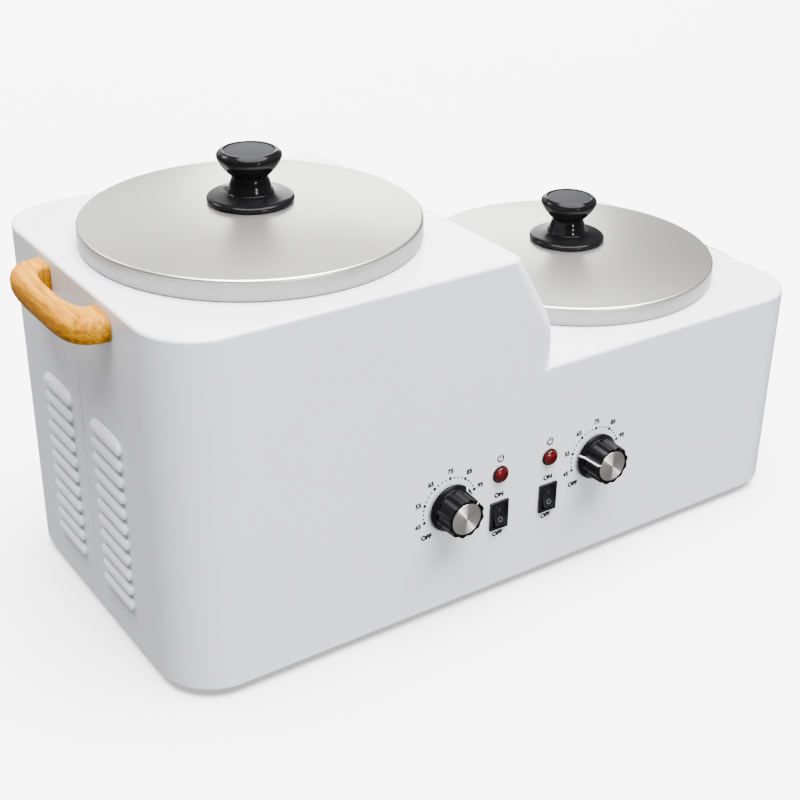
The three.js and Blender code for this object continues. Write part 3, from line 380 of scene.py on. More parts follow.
def cube(name, low, high):  # a box between two corners, in millimetres
    size = [(b - a) * mm for a, b in zip(low, high)]
    middle = [(a + b) / 2 * mm for a, b in zip(low, high)]
    bpy.ops.mesh.primitive_cube_add(size=1, location=middle, scale=size)
    return placed(name)


def frontBox(name, place, size, near, far):  # a box about an x and z, from one y to another
    (x, z), (wide, tall) = place, (extent / 2 for extent in size)
    return cube(name, (x - wide, near, z - tall), (x + wide, far, z + tall))


def rod(name, radius, start, end, sides=32):
    start, end = Vector(start) * mm, Vector(end) * mm
    along = end - start
    bpy.ops.mesh.primitive_cylinder_add(
        vertices=sides, radius=radius * mm, depth=along.length, location=(start + end) / 2,
        rotation=along.to_track_quat("Z", "Y").to_euler())
    return placed(name)


def filleted(corners, steps=5):  # rounds each corner (radius, height, fillet) of an outline
    points = []
    for order, corner in enumerate(corners):
        here = Vector(corner[:2])
        if len(corner) < 3 or order in (0, len(corners) - 1):
            points.append(here)
            continue
        back = Vector(corners[order - 1][:2]) - here
        ahead = Vector(corners[order + 1][:2]) - here
        reach = corner[2] / math.tan(back.angle(ahead) / 2)
        reach = min(reach, back.length * 0.49, ahead.length * 0.49)
        start, end = here + back.normalized() * reach, here + ahead.normalized() * reach
        for step in range(steps + 1):
            share = step / steps
            points.append(start.lerp(here, share).lerp(here.lerp(end, share), share))
    return points


def flowing(points, steps=5):  # a smooth curve through the points
    ends = [points[0]] + list(points) + [points[-1]]
    curve = []
    for a, b, c, d in zip(ends, ends[1:], ends[2:], ends[3:]):
        a, b, c, d = Vector(a), Vector(b), Vector(c), Vector(d)
        for step in range(steps):
            t = step / steps
            curve.append(0.5 * (2 * b + (c - a) * t + (2 * a - 5 * b + 4 * c - d) * t * t
                                + (3 * b - a - 3 * c + d) * t ** 3))
    curve.append(Vector(points[-1]))
    return curve


def drawnOutline(name, points):  # one vertex, extruded from point to point, in metres
    bpy.ops.mesh.primitive_plane_add(size=mm, location=points[0])
    piece = named(name)
    bpy.ops.object.mode_set(mode="EDIT")
    bpy.ops.mesh.select_mode(type="VERT")
    chooseAll()
    bpy.ops.mesh.merge(type="CENTER")
    for before, after in zip(points, points[1:]):
        bpy.ops.mesh.extrude_vertices_move(TRANSFORM_OT_translate={"value": after - before})
    return piece


def spun(name, outline, centre, up=(0, 0, 1), steps=96, angle=30):
    centre, up, out = Vector(centre) * mm, Vector(up), Vector((1, 0, 0))
    points = [centre + out * point[0] * mm + up * point[1] * mm for point in outline]
    piece = drawnOutline(name, points)
    chooseAll()
    bpy.ops.mesh.spin(steps=steps, angle=2 * math.pi, center=centre, axis=up, use_auto_merge=True)
    return closePiece(piece, angle)


def settle(piece, body, slot, material, *nodes):
    piece.data.materials.clear()
    piece.data.materials.append(material)
    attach(piece, body)
    if nodes:
        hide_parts(*nodes)
    return piece


# The casing is two blocks with rounded corners, joined and hollowed to sheet steel
def bevelEdges(test, width, segments, along=None):
    choose("EDGE", test, along)
    bpy.ops.mesh.bevel(offset=width * mm, segments=segments, affect="EDGES", clamp_overlap=True)


def profileBlock(name, profile, front, rear):  # a side view drawn in X and Z, drawn out along Y
    points = [Vector((x, front, z)) * mm for x, z in profile]
    block = drawnOutline(name, points + points[:1])
    chooseAll()
    bpy.ops.mesh.remove_doubles(threshold=0.002 * mm)
    chooseAll()
    bpy.ops.mesh.edge_face_add()
    chooseAll()
    drawOut((0, (rear - front) * mm, 0))
    chooseAll()
    bpy.ops.mesh.normals_make_consistent(inside=False)
    return block


def lowBlock(inset, bottom):
    front, rear, end = frontWall + inset, rearWall - inset, endWall - inset
    top = lift + casing["lowDeck"] - inset
    start = casing["stepTop"] - 20  # well inside the high block
    block = profileBlock("lowBlock", [(start, bottom), (end, bottom), (end, top), (start, top)],
                         front, rear)
    bevelEdges(lambda p: p.x > end - 0.1, casing["cornerRadius"] - inset, 24, along=2)
    bevelEdges(lambda p: p.z > top - 0.1, casing["deckEdge"] - inset, 5)
    return closePiece(block)


def highBlock(inset, bottom):
    front, rear, end = frontWall + inset, rearWall - inset, -endWall + inset
    top = lift + casing["highDeck"] - inset
    slope = math.radians(casing["stepSlope"])
    wallX, run = casing["stepWall"] - inset, casing["stepWall"] - casing["stepTop"]
    knee = lift + casing["highDeck"] - run / math.tan(slope) - inset * math.tan(slope / 2)
    topX = wallX - (top - knee) * math.tan(slope)
    arc = filleted([(wallX, bottom), (wallX, knee, casing["stepArc"] - inset), (topX, top)], 8)
    profile = [(end, bottom)] + [tuple(point) for point in arc] + [(end, top)]
    block = profileBlock("highBlock", profile, front, rear)
    bevelEdges(lambda p: p.x < end + 0.1, casing["cornerRadius"] - inset, 24, along=2)
    for wall in (front, rear):
        onStep = lambda p: abs(p.y - wall) < 0.1 and p.x > topX - 0.1
        bevelEdges(onStep, casing["stepCorner"] - inset, 8)
    bevelEdges(lambda p: p.z > top - 0.1, casing["deckEdge"] - inset, 5)
    return closePiece(block)


hood = {
    "length": 46, "reach": 3.4, "height": 9.4, "sheet": 0.6, "pitch": 12, "lowest": 30.5,
    "columns": (98, 178), "waist": 0.45, "shoulder": 0.8, "lean": 0.93, "taper": 0.86,
    "droop": 2.6, "slotInset": 3.5, "slotReach": 3, "slotBelow": 1.2, "slotTop": 3.6,
}


def louvreSet(way, rows):  # the hoods of one end wall, and the slots behind them
    wallX, y, z = way * endWall, frontWall + hood["columns"][0], lift + hood["lowest"]
    outer, half, anchor = wallX + way * hood["reach"], hood["length"] / 2, Vector((wallX, y, z))
    piece = cube("hood", (min(wallX, outer), y - half, z),
                 (max(wallX, outer), y + half, z + hood["height"]))
    openPiece(piece)
    bpy.ops.mesh.bisect(plane_co=(0, 0, (z + hood["waist"] * hood["height"]) * mm),
                        plane_no=(0, 0, 1))
    for share in (-hood["shoulder"], hood["shoulder"]):
        chooseAll()
        bpy.ops.mesh.bisect(plane_co=(0, (y + share * half) * mm, 0), plane_no=(0, 1, 0))
    top = z + hood["height"] - 0.1
    choose("VERT", lambda p: p.z > top and abs(p.x - wallX) > 1)
    shift((-way * hood["reach"] * hood["lean"] * mm, 0, 0))
    choose("VERT", lambda p: p.z > top and abs(p.y - y) > half - 0.1)
    stretch((1, hood["taper"], 1), anchor * mm)
    shift((0, 0, -hood["droop"] * mm))
    for test in (lambda p: p.z < z + 0.01, lambda p: abs(p.x - wallX) < 0.01):
        choose("FACE", test)
        bpy.ops.mesh.delete(type="FACE")
    modify(piece, "SUBSURF", levels=2, render_levels=2)
    modify(piece, "SOLIDIFY", thickness=hood["sheet"] * mm, offset=-1)
    # The soft form shrank, so it is brought back to size
    extents = zip(("reach", "length", "height"), piece.dimensions)
    fit = [hood[key] / (extent / mm) for key, extent in extents]
    openPiece(piece)
    stretch(fit, anchor * mm)
    leavePiece()
    inner = half - hood["slotInset"]
    slot = cube("slot", (wallX - hood["slotReach"], y - inner, z - hood["slotBelow"]),
                (wallX + hood["slotReach"], y + inner, z + hood["slotTop"]))
    across = (hood["columns"][1] - hood["columns"][0]) * mm
    for part in (piece, slot):
        openPiece(part)
        for row in range(rows - 1):
            bpy.ops.mesh.duplicate_move(
                TRANSFORM_OT_translate={"value": (0, 0, hood["pitch"] * mm)})
        chooseAll()
        bpy.ops.mesh.duplicate_move(TRANSFORM_OT_translate={"value": (0, across, 0)})
        leavePiece()
    return closePiece(openPiece(piece), 50), slot


def makeCasing():
    shell = highBlock(0, lift)
    boolean(shell, lowBlock(0, lift), "UNION")
    below = lift - casing["openBelow"]
    hollow = highBlock(casing["wall"], below)
    boolean(hollow, lowBlock(casing["wall"], below), "UNION")
    boolean(shell, hollow, "DIFFERENCE")
    reach, deep = casing["cutReach"], casing["wellReach"]
    near, far = frontWall - reach, frontWall + reach
    tools, hoods = [], []
    for side in sides.values():
        way, deck = side["way"], lift + side["deck"]
        x, y, _ = overWell(way, 0)
        tools.append(rod("well", casing["wellHole"], (x, y, deck - deep), (x, y, deck + deep),
                         160))
        for kind in ("dial", "lamp"):
            x, z = panelPlace(kind, way)
            tools.append(rod(kind, casing[kind + "Hole"], (x, near, z), (x, far, z)))
        place = panelPlace("switch", way)
        tools.append(frontBox("switchHole", place, casing["switchHole"], near, far))
        front, rear = (frontWall + edge for edge in casing["seam"])
        tools.append(cube("seam", (way * endWall - casing["seamDepth"], front, lift - 1),
                          (way * endWall + casing["seamDepth"], rear, deck - 5)))
        hoodSet, slots = louvreSet(way, side["rows"])
        hoods.append(hoodSet)
        tools.append(slots)
    tools.append(frontBox("socketHole", (0, lift + panel["socketHeight"]), casing["socketHole"],
                          rearWall - reach, rearWall + reach))
    boolean(shell, joined(tools, "cutters"), "DIFFERENCE")
    closePiece(openPiece(shell), 35)
    modify(shell, "WEIGHTED_NORMAL", keep_sharp=True, weight=60)
    whole = joined([shell] + hoods, "casingShell")
    settle(whole, "casing_assembly", "white_enamel", enamel, "casing")


makeCasing()
print("casing made")


lidShape = {"radius": 116.7, "wall": 1.2, "rim": 14.5, "edge": 2, "crown": 10.2, "hole": 2.5,
            "hem": 1.1}


def makeLid(side, way, deck):
    radius, wall, rim, edge, rise, hole, hem = lidShape.values()
    top, shoulder, inner = gap + rim, radius - edge, radius - wall
    crown = lambda r: top + rise * (1 - (r / shoulder) ** 2)
    radii = [shoulder * (1 - step / 24) for step in range(25)]
    over = [(r, crown(r)) for r in radii if r > hole] + [(hole, crown(0))]
    turns = [math.pi / 2 * (1 - step / 6) for step in range(6)]
    bend = [(shoulder + edge * math.sin(a), top - edge * (1 - math.cos(a))) for a in turns]
    under = [(r, z - wall) for r, z in reversed(over) if r < shoulder - 2]
    outline = [(inner, gap + 0.2), (inner + 0.1, gap), (inner + 0.3, gap), (radius, gap + hem)]
    outline += bend + over + under
    outline += [(inner - 0.6, top - wall - 1.0), (inner, top - edge - 0.6), (inner, gap + 0.2)]
    centre = overWell(way, deck)
    piece = spun(side + "LidShell", outline, centre, steps=160, angle=40)
    metal = spunAluminium(side + "LidAluminium", centre, rimTop=top - edge * 0.6)
    settle(piece, side + "_lid_body", "spun_aluminium", metal, side + "_lid")


knobShape = {
    "outline": [(26.5, 0.3), (28.4, -0.25), (29.5, 0.35), (29.75, 1.2), (29.2, 2.3), (27.4, 3.2),
                (23, 3.8), (18.5, 4.6), (15.6, 5.7), (14.6, 7.8), (13.9, 11), (12.9, 14),
                (12.5, 16.1), (13.4, 17.8), (15.6, 19.9), (18.2, 22.9), (20.4, 26.2), (21.7, 29),
                (22, 30.6), (21.6, 31.9), (20.4, 33.2), (19, 34.1), (18.2, 34.4)],
    "recess": [(17.6, 34.3), (17.1, 33.7), (16.9, 33.4), (0, 33.2)],
    "base": 25, "disc": 16.6, "discTop": 33.9, "discThick": 0.55,
}


def makeLidKnob(side, way, deck):
    centre = overWell(way, deck + gap * 2 + lidShape["rim"] + lidShape["crown"])
    outline = [(0, 0), (knobShape["base"], 0)] + flowing(knobShape["outline"], 4)
    outline += knobShape["recess"]
    knob = spun(side + "LidKnobTurned", outline, centre, steps=96, angle=38)
    settle(knob, side + "_lid_body", "black_bakelite", bakelite, side + "_lid_knob")
    disc, top = knobShape["disc"], knobShape["discTop"]
    low = top - knobShape["discThick"]
    inlay = spun(side + "LidKnobDisc", filleted([
        (0, low), (disc, low, 0.1), (disc, top, 0.25), (0, top + 0.1)]), centre)
    settle(inlay, side + "_lid_body", "black_bakelite", satinBakelite)


wellShape = {"radius": 102.2, "wall": 1.2, "flange": 111, "round": 8}


def makeWell(side, way, deck, depth):
    radius, wall, flange, bend = wellShape.values()
    centre, floor, inner = overWell(way, deck), gap - depth, radius - wall
    outline = [(0, floor), (radius, floor, bend), (radius, gap, 1.5), (flange, gap, 0.5),
               (flange, gap + wall, 0.5), (inner, gap + wall, 2.2), (inner, floor + wall, bend),
               (0, floor + wall)]
    piece = spun(side + "WellDrawn", filleted(outline), centre, steps=112)
    metal = spunAluminium(side + "WellAluminium", centre, ("A3A3A1", "BDBDBA"), (0.36, 0.5))
    settle(piece, "casing_assembly", "drawn_aluminium", metal, side + "_well")


potShape = {"radius": 99, "wall": 1.5, "rim": 108.5, "bead": 3.2, "beadWidth": 2.6, "round": 10,
            "overFloor": 3}


def makePot(side, way, deck, depth):
    radius, wall, rim, bead, beadWidth, bend, overFloor = potShape.values()
    centre, inner, beadIn = overWell(way, deck), radius - wall, rim - beadWidth
    floor = gap - depth + wellShape["wall"] + overFloor
    seat = 2 * gap + wellShape["wall"]
    outline = [(0, floor), (radius, floor, bend), (radius, seat, 1.5), (rim, seat, 0.6),
               (rim, seat + bead, 1.2), (beadIn, seat + bead, 1.2), (beadIn, seat + wall, 0.8),
               (inner, seat + wall, 2.5), (inner, floor + wall, bend - 1), (0, floor + wall)]
    piece = spun(side + "PotSpun", filleted(outline), centre, steps=112)
    metal = spunAluminium(side + "PotAluminium", centre, ("B4B4B1", "CBCBC8"), (0.24, 0.38))
    settle(piece, side + "_pot_body", "spun_aluminium", metal, side + "_pot")


for side, data in sides.items():
    way, deck, depth = data["way"], data["deck"], data["wellDepth"]
    makeLid(side, way, deck)
    makeLidKnob(side, way, deck)
    makeWell(side, way, deck, depth)
    makePot(side, way, deck, depth)
print("lids and pots made")


bow = {
    "spacing": 96, "middle": 134, "below": {"left": 16, "right": 22}, "reach": 20, "power": 3.2,
    "height": 9.6, "thin": 6.8, "foot": 12.6, "steps": 44, "outerRound": 8.4, "innerRound": 2.6,
}


def makeHandle(side, way, deck):  # a ring of wood drawn along the bow from foot to foot
    centre = Vector((way * (endWall + gap), frontWall + bow["middle"],
                     lift + deck - bow["below"][side]))

    def spine(turn):
        share = 2 / bow["power"]
        return Vector((way * bow["reach"] * abs(math.sin(turn)) ** share,
                       -math.copysign(1, math.cos(turn)) * bow["spacing"] / 2
                       * abs(math.cos(turn)) ** share, 0))

    turns = [math.pi * step / bow["steps"] for step in range(bow["steps"] + 1)]
    places = [centre + spine(turn) for turn in turns]
    heads = [math.radians(90 - way * 90)]
    for before, after in zip(places, places[2:]):
        heads.append(math.atan2(after.y - before.y, after.x - before.x))
    heads.append(math.radians(90 + way * 90))
    halves = [bow["thin"] + (bow["foot"] - bow["thin"]) * math.cos(turn) ** 2 for turn in turns]
    bpy.ops.mesh.primitive_plane_add(size=2 * bow["height"] * mm, location=places[0] * mm,
                                     rotation=(0, math.pi / 2, 0))
    piece = named(side + "HandleBow")
    openPiece(piece)
    wide = halves[0] / bow["height"]
    stretch((1, wide, 1), places[0] * mm)
    for inner, radius, segments in ((False, bow["outerRound"], 12), (True, bow["innerRound"], 6)):
        choose("VERT", lambda p: (p.y > places[0].y) == inner)
        bpy.ops.mesh.bevel(offset=radius * mm, segments=segments, affect="VERTICES")
    chooseAll()
    for order in range(1, len(places)):
        drawOut((places[order] - places[order - 1]) * mm)
        bend = heads[order] - heads[order - 1]
        bend = (bend + math.pi) % (2 * math.pi) - math.pi
        here = places[order] * mm
        swing(-bend, "Z", here)
        size = halves[order] / halves[order - 1]
        stretch((size, size, 1), here)
    # The feet's ends are laid flat on the wall
    choose("VERT", lambda p: way * (p.x - centre.x) < 0)
    stretch((0, 1, 1), (centre.x * mm, 0, 0))
    closePiece(piece, 50)
    settle(piece, "casing_assembly", "varnished_wood", beech, side + "_handle")


for side, data in sides.items():
    makeHandle(side, data["way"], data["deck"])
print("handles made")


dial = {
    "standoff": 2.2, "skirt": 18, "skirtEdge": 1.8, "shoulder": 3.2, "grip": 15.6, "gripTop": 15,
    "out": 18.3, "cap": 11.9, "capIn": 1.0, "hollow": 12.5, "hollowDepth": 6,
    "flareOut": 0.9, "flareUp": 0.8, "capGap": 0.3, "flute": 5, "fluteDepth": 1.3, "flutes": 12,
    "fluteStart": 1.4, "fluteEnd": 1.2, "lineWidth": 1.3, "lineThick": 0.16, "lineOver": 0.06,
}
outward = (0, -1, 0)


def makeDial(side, way, pointer):  # moulded knob with flutes, metal cap and pointer line
    skirt, edge, shoulder, grip, gripTop, out, cap = (dial[key] for key in (
        "skirt", "skirtEdge", "shoulder", "grip", "gripTop", "out", "cap"))
    flareOut, flareUp, rim = dial["flareOut"], dial["flareUp"], cap + dial["capGap"]
    top = out - dial["capIn"]
    x, z = panelPlace("dial", way)
    centre = Vector((x, frontWall - dial["standoff"], z))
    body = side + "_dial_body"
    inside = [(0, dial["hollowDepth"]), (dial["hollow"], dial["hollowDepth"], 0.8),
              (dial["hollow"], 0)]
    outline = [(dial["hollow"], 0), (skirt, 0, 0.5), (skirt, edge, 0.7),
               (grip + flareOut, shoulder, 0.5), (grip, shoulder + flareUp, 0.5),
               (gripTop, out, 0.5), (rim, out, 0.3), (rim, top), (0, top)]
    knob = spun(side + "DialKnobMoulded", filleted(inside) + filleted(outline)[1:],
                centre, outward, 144)
    flutes = []
    for order in range(dial["flutes"]):
        angle = math.radians(pointer + (order + 0.5) * 360 / dial["flutes"])
        away = Vector((math.cos(angle), 0, math.sin(angle)))
        low = centre + away * (grip + dial["flute"] - dial["fluteDepth"])
        high = centre + away * (gripTop + dial["flute"] - dial["fluteDepth"])
        low += Vector((0, -shoulder - dial["fluteStart"], 0))
        high += Vector((0, -out - dial["fluteEnd"], 0))
        flutes.append(rod("flute", dial["flute"], low, high, 40))
    boolean(knob, joined(flutes, "flutes"), "DIFFERENCE")
    soften(knob, 0.25, 2, 28)
    closePiece(openPiece(knob))
    settle(knob, body, "black_bakelite", dialAbs, side + "_dial_knob")
    disc = spun(side + "DialCapTurned", filleted([
        (0, top + 0.3), (cap, top + 0.3, 0.1), (cap, out, 0.25), (cap / 2, out + 0.15),
        (0, out + 0.3)]), centre, outward, 96, 40)
    metal = turnedDisc(side + "DialTurnedDisc", centre)
    settle(disc, body, "dial_aluminium", metal, side + "_dial_cap")
    turn, over = math.radians(pointer), dial["lineOver"]
    away = Vector((math.cos(turn), 0, math.sin(turn)))
    across = Vector((-math.sin(turn), 0, math.cos(turn)))
    path = filleted([(skirt + over, 0.5), (skirt + over, edge, 0.5),
                     (grip + flareOut, shoulder + over, 0.3),
                     (grip + over, shoulder + flareUp, 0.4),
                     (gripTop + over, out + 0.05, 0.8), (rim, out + over)], 4)
    places = [(centre + away * p[0] + Vector((0, -p[1], 0))) * mm for p in path]
    line = drawnOutline(side + "DialPointerLine", places)
    chooseAll()
    shift(across * (-dial["lineWidth"] / 2 * mm))
    bpy.ops.mesh.extrude_edges_move(
        TRANSFORM_OT_translate={"value": across * dial["lineWidth"] * mm})
    closePiece(line, 60)
    modify(line, "SOLIDIFY", thickness=dial["lineThick"] * mm, offset=0)
    settle(line, body, "white_enamel", whitePaint)


for side, data in sides.items():
    makeDial(side, data["way"], data["pointer"])
print("dials made")


switch = {
    "frame": (16, 23), "bezel": 1.9, "pocket": 10.9, "depth": 11, "barrelInset": 1.3,
    "barrel": 13, "key": (10.2, 15.2), "pivot": 2, "dish": 3.7, "end": 5.4, "back": 4, "tilt": 10,
    "taper": 0.6, "ring": 1.65, "bar": 1.3, "stroke": 0.12, "flat": 0.35, "markPlace": 0.48,
}


def makeSwitch(side, way):
    x, z = panelPlace("switch", way)
    face = Vector((x, frontWall, z))
    out = gap + switch["bezel"]
    bezel = frontBox(side + "SwitchFrameMoulded", (x, face.z), switch["frame"],
                     face.y - out, face.y - gap)
    openPiece(bezel)
    choose("FACE", lambda p: p.y < face.y - out + 0.01)
    bpy.ops.mesh.inset(thickness=(switch["frame"][0] - switch["pocket"]) / 2 * mm, depth=0)
    drawOut((0, switch["depth"] * mm, 0))
    choose("FACE", lambda p: p.y > face.y - gap - 0.01 and p.y < face.y)
    bpy.ops.mesh.inset(thickness=switch["barrelInset"] * mm, depth=0)
    drawOut((0, switch["barrel"] * mm, 0))
    soften(bezel, 0.4, 3, 40)
    closePiece(openPiece(bezel))
    settle(bezel, "casing_assembly", "black_nylon", switchAbs, side + "_switch_frame")
    pivot = Vector((x, face.y + switch["pivot"], face.z))
    dish, end, tall = switch["dish"], switch["end"], switch["key"][1] / 2
    key = frontBox(side + "RockerKey", (x, face.z), switch["key"], pivot.y - end,
                   pivot.y + switch["back"])
    openPiece(key)
    bpy.ops.mesh.bisect(plane_co=(0, 0, face.z * mm), plane_no=(0, 0, 1))
    choose("VERT", lambda p: abs(p.z - face.z) < 0.1 and p.y < pivot.y)
    shift((0, (end - dish) * mm, 0))
    choose("VERT", lambda p: abs(p.z - face.z) > 1 and p.y > pivot.y)
    stretch((1, 1, switch["taper"]), pivot * mm)
    soften(key, 0.45, 3, 40)
    stroke, long, share = switch["stroke"], switch["bar"], switch["markPlace"]
    bpy.ops.mesh.primitive_torus_add(
        major_radius=switch["ring"] * mm, minor_radius=stroke * mm, major_segments=40,
        minor_segments=10, location=(0, 0, 0), rotation=(math.pi / 2, 0, 0))
    ring = placed("ring")
    bar = cube("bar", (-stroke, -0.1, -long), (stroke, 0.1, long))
    slope = math.atan2(end - dish, tall)
    depth = dish + share * (end - dish) + 0.02
    for mark, half in ((ring, -1), (bar, 1)):  # pressed flat and laid on its half of the key
        openPiece(mark)
        stretch((1, switch["flat"], 1), (0, 0, 0))
        swing(-half * slope, "X", (0, 0, 0))
        shift((pivot + Vector((0, -depth, half * share * tall))) * mm)
        leavePiece()
    marks = joined([ring, bar], side + "RockerMarks")
    for piece in (key, marks):
        openPiece(piece)
        swing(math.radians(switch["tilt"]), "X", pivot * mm)
        closePiece(piece, 35)
    settle(key, side + "_rocker_body", "black_nylon", switchAbs, side + "_rocker")
    settle(marks, side + "_rocker_body", "white_enamel", greyPaint)


lamp = {"bezel": 6.7, "out": 1.2, "barrel": 4.8, "behind": 16, "pocket": 6.1, "pocketIn": 0.7,
        "lens": 5.85, "edge": 1.0, "dome": 3.4}


def makeLamp(side, way):
    x, z = panelPlace("lamp", way)
    centre = Vector((x, frontWall, z))
    bezel, barrel, pocket, face = lamp["bezel"], lamp["barrel"], lamp["pocket"], gap + lamp["out"]
    seat = face - lamp["pocketIn"]
    holder = spun(side + "LampHolderMoulded", filleted([
        (0, -lamp["behind"]), (barrel, -lamp["behind"], 0.6), (barrel, gap, 0.1),
        (bezel, gap, 0.2), (bezel, face, 0.5), (pocket, face, 0.25), (pocket, seat),
        (0, seat)]), centre, outward, 64)
    settle(holder, "casing_assembly", "black_nylon", switchAbs, side + "_lamp_holder")
    low, lens, edge = seat + gap, lamp["lens"], lamp["edge"]
    turns = [math.pi / 2 * step / 10 for step in range(11)]
    dome = [(lens * math.cos(a), low + edge + (lamp["dome"] - edge) * math.sin(a)) for a in turns]
    cover = spun(side + "LampLensMoulded", [(0, low), (lens, low)] + dome,
                 centre, outward, 64, 40)
    settle(cover, "casing_assembly", "red_lens", acrylic, side + "_lamp_lens")


for side, data in sides.items():
    makeSwitch(side, data["way"])
    makeLamp(side, data["way"])
print("switches and lamps made")


# A scale in degrees Celsius round each dial, ON and OFF, and a power sign over each lamp
printing = {
    "high": 0.06, "size": 5, "bold": 0.055, "heavy": 1.4, "dots": 22.2, "dotSize": 1.25,
    "smallDot": 0.7, "labels": 27.8, "marks": ("45", "55", "65", "75", "85", "95"),
    "firstAngle": 198, "stepAngle": 36, "between": 3, "offReach": 27, "offAngle": 225,
    "switchWords": 16.2, "signAbove": 12.6, "signRadius": 2.5, "signWidth": 1.05,
    "signEnds": (122, 418),
}


def label(text, x, z, heavy=1):  # copies a little apart thicken the strokes
    size, high, copies = printing["size"], printing["high"], []
    for across, up in ((0, 0), (-1, 0), (1, 0), (0, -1), (0, 1)):
        apart = printing["bold"] * size * heavy
        place = (x + across * apart, frontWall - high, z + up * apart)
        bpy.ops.object.text_add(location=[value * mm for value in place],
                                rotation=(math.pi / 2, 0, 0))
        words = bpy.context.object.data
        words.body = text
        words.size = size * mm
        words.align_x = words.align_y = "CENTER"
        words.extrude = high * mm
        bpy.ops.object.convert(target="MESH")
        copies.append(closePiece(openPiece(bpy.context.object)))
    return joined(copies, "label")


def dot(x, z, radius):
    return rod("dot", radius, (x, frontWall - 2 * printing["high"], z), (x, frontWall + 0.1, z), 20)


def powerSign(x, z):  # a ring that is open at the top, and a bar in the opening
    radius, width, high = printing["signRadius"], printing["signWidth"], printing["high"]
    centre = Vector((x, frontWall, z)) * mm
    start, end = (math.radians(angle) for angle in printing["signEnds"])
    points = [centre + Vector((math.cos(start) * r * mm, -high * mm, math.sin(start) * r * mm))
              for r in (radius - width / 2, radius + width / 2)]
    ring = drawnOutline("sign", points)
    chooseAll()
    bpy.ops.mesh.spin(steps=28, angle=start - end, center=centre, axis=outward)
    closePiece(ring, 60)
    modify(ring, "SOLIDIFY", thickness=2 * high * mm, offset=0)
    bar = cube("signBar", (x - width / 2, frontWall - 2 * high, z + 0.2),
               (x + width / 2, frontWall, z + radius + 0.8))
    return joined([ring, bar], "powerSign")


def around(place, reach, angle):  # x and z at a distance and an angle from a place
    turn = math.radians(angle)
    return place[0] + reach * math.cos(turn), place[1] + reach * math.sin(turn)


def makePrinting():
    parts = []
    first, step, between = (printing[key] for key in ("firstAngle", "stepAngle", "between"))
    for side in sides.values():
        middle = panelPlace("dial", side["way"])
        for order, text in enumerate(printing["marks"]):
            angle = first - step * order
            parts.append(dot(*around(middle, printing["dots"], angle), printing["dotSize"]))
            parts.append(label(text, *around(middle, printing["labels"], angle)))
        for order in range((len(printing["marks"]) - 1) * (between + 1)):
            if order % (between + 1):
                place = around(middle, printing["dots"], first - step / (between + 1) * order)
                parts.append(dot(*place, printing["smallDot"]))
        place = around(middle, printing["offReach"], printing["offAngle"])
        parts.append(label("OFF", *place, printing["heavy"]))
        x, z = panelPlace("switch", side["way"])
        for text, up in (("ON", 1), ("OFF", -1)):
            parts.append(label(text, x, z + up * printing["switchWords"], printing["heavy"]))
        x, z = panelPlace("lamp", side["way"])
        parts.append(powerSign(x, z + printing["signAbove"]))
    settle(joined(parts, "panelPrinting"), "casing_assembly", "black_nylon", ink)


makePrinting()
print("printing made")


foot = {"high": 8, "top": 13, "bottom": 11.5, "recess": 5.6, "recessDepth": 4, "bore": 2.3,
        "inset": 34}


def makeFeet():
    high, top, bottom, recess, deep, bore, inset = foot.values()
    outline = filleted([(recess, deep), (recess, 0, 0.5), (bottom, 0, 1.2), (top, high, 0.5),
                        (bore, high), (bore, deep), (recess, deep)])
    for end, way in (("left", -1), ("right", 1)):
        for row, back in (("front", -1), ("rear", 1)):
            centre = (way * (endWall - inset),
                      casing["middle"] + back * (casing["depth"] / 2 - inset), 0)
            piece = spun(row + end.capitalize() + "FootMoulded", outline, centre, steps=64)
            settle(piece, "casing_assembly", "black_rubber", rubber, "foot_" + row + "_" + end)


socket = {
    "flange": (50, 24), "thick": 2.5, "round": 6, "body": (28, 20.5), "bodyDepth": 20,
    "well": (24.4, 16.6), "wellDepth": 16, "wellCorner": 4.5, "pins": ((-7, -2), (0, 2), (7, -2)),
    "pinHole": (2.6, 4.6), "pinReach": (24, 12), "screws": 20, "screwHole": 1.8, "sink": 3.2,
    "sinkDepth": 3.1, "sinkIn": 1.45,
}


def makeSocket():
    z = lift + panel["socketHeight"]
    back = rearWall + gap
    face = back + socket["thick"]
    wide, tall = (extent / 2 - 0.1 for extent in socket["flange"])
    piece = frontBox("mainsSocketMoulded", (0, z), socket["flange"], back, face)
    openPiece(piece)
    for x in (-1, 1):
        for up in (-1, 1):
            corner = lambda p: p.x * x > wide and (p.z - z) * up > tall
            bevelEdges(corner, socket["round"], 6, along=1)
    leavePiece()
    body = frontBox("body", (0, z), socket["body"], face - socket["bodyDepth"], face - 1)
    boolean(piece, body, "UNION")
    well = frontBox("well", (0, z), socket["well"], face - socket["wellDepth"], face + 2)
    openPiece(well)
    for x in (-1, 1):
        bevelEdges(lambda p: p.x * x > 12 and p.z > z + 8, socket["wellCorner"], 1, along=1)
    leavePiece()
    tools = [well]
    near, far = (face - reach for reach in socket["pinReach"])
    for x, height in socket["pins"]:
        tools.append(frontBox("pin", (x, z + height), socket["pinHole"], near, far))
    for x in (-socket["screws"], socket["screws"]):
        bpy.ops.mesh.primitive_cone_add(
            vertices=48, radius1=0.1 * mm, radius2=socket["sink"] * mm,
            depth=socket["sinkDepth"] * mm, rotation=(-math.pi / 2, 0, 0),
            location=(x * mm, (face - socket["sinkIn"]) * mm, z * mm))
        tools.append(placed("sink"))
        tools.append(rod("hole", socket["screwHole"], (x, face - 6, z), (x, face + 2, z), 24))
    for tool in tools:
        boolean(piece, tool, "DIFFERENCE")
    soften(piece, 0.3, 2, 50)
    closePiece(openPiece(piece))
    settle(piece, "casing_assembly", "black_nylon", switchAbs, "mains_inlet")


makeFeet()
makeSocket()
print("feet and socket made")


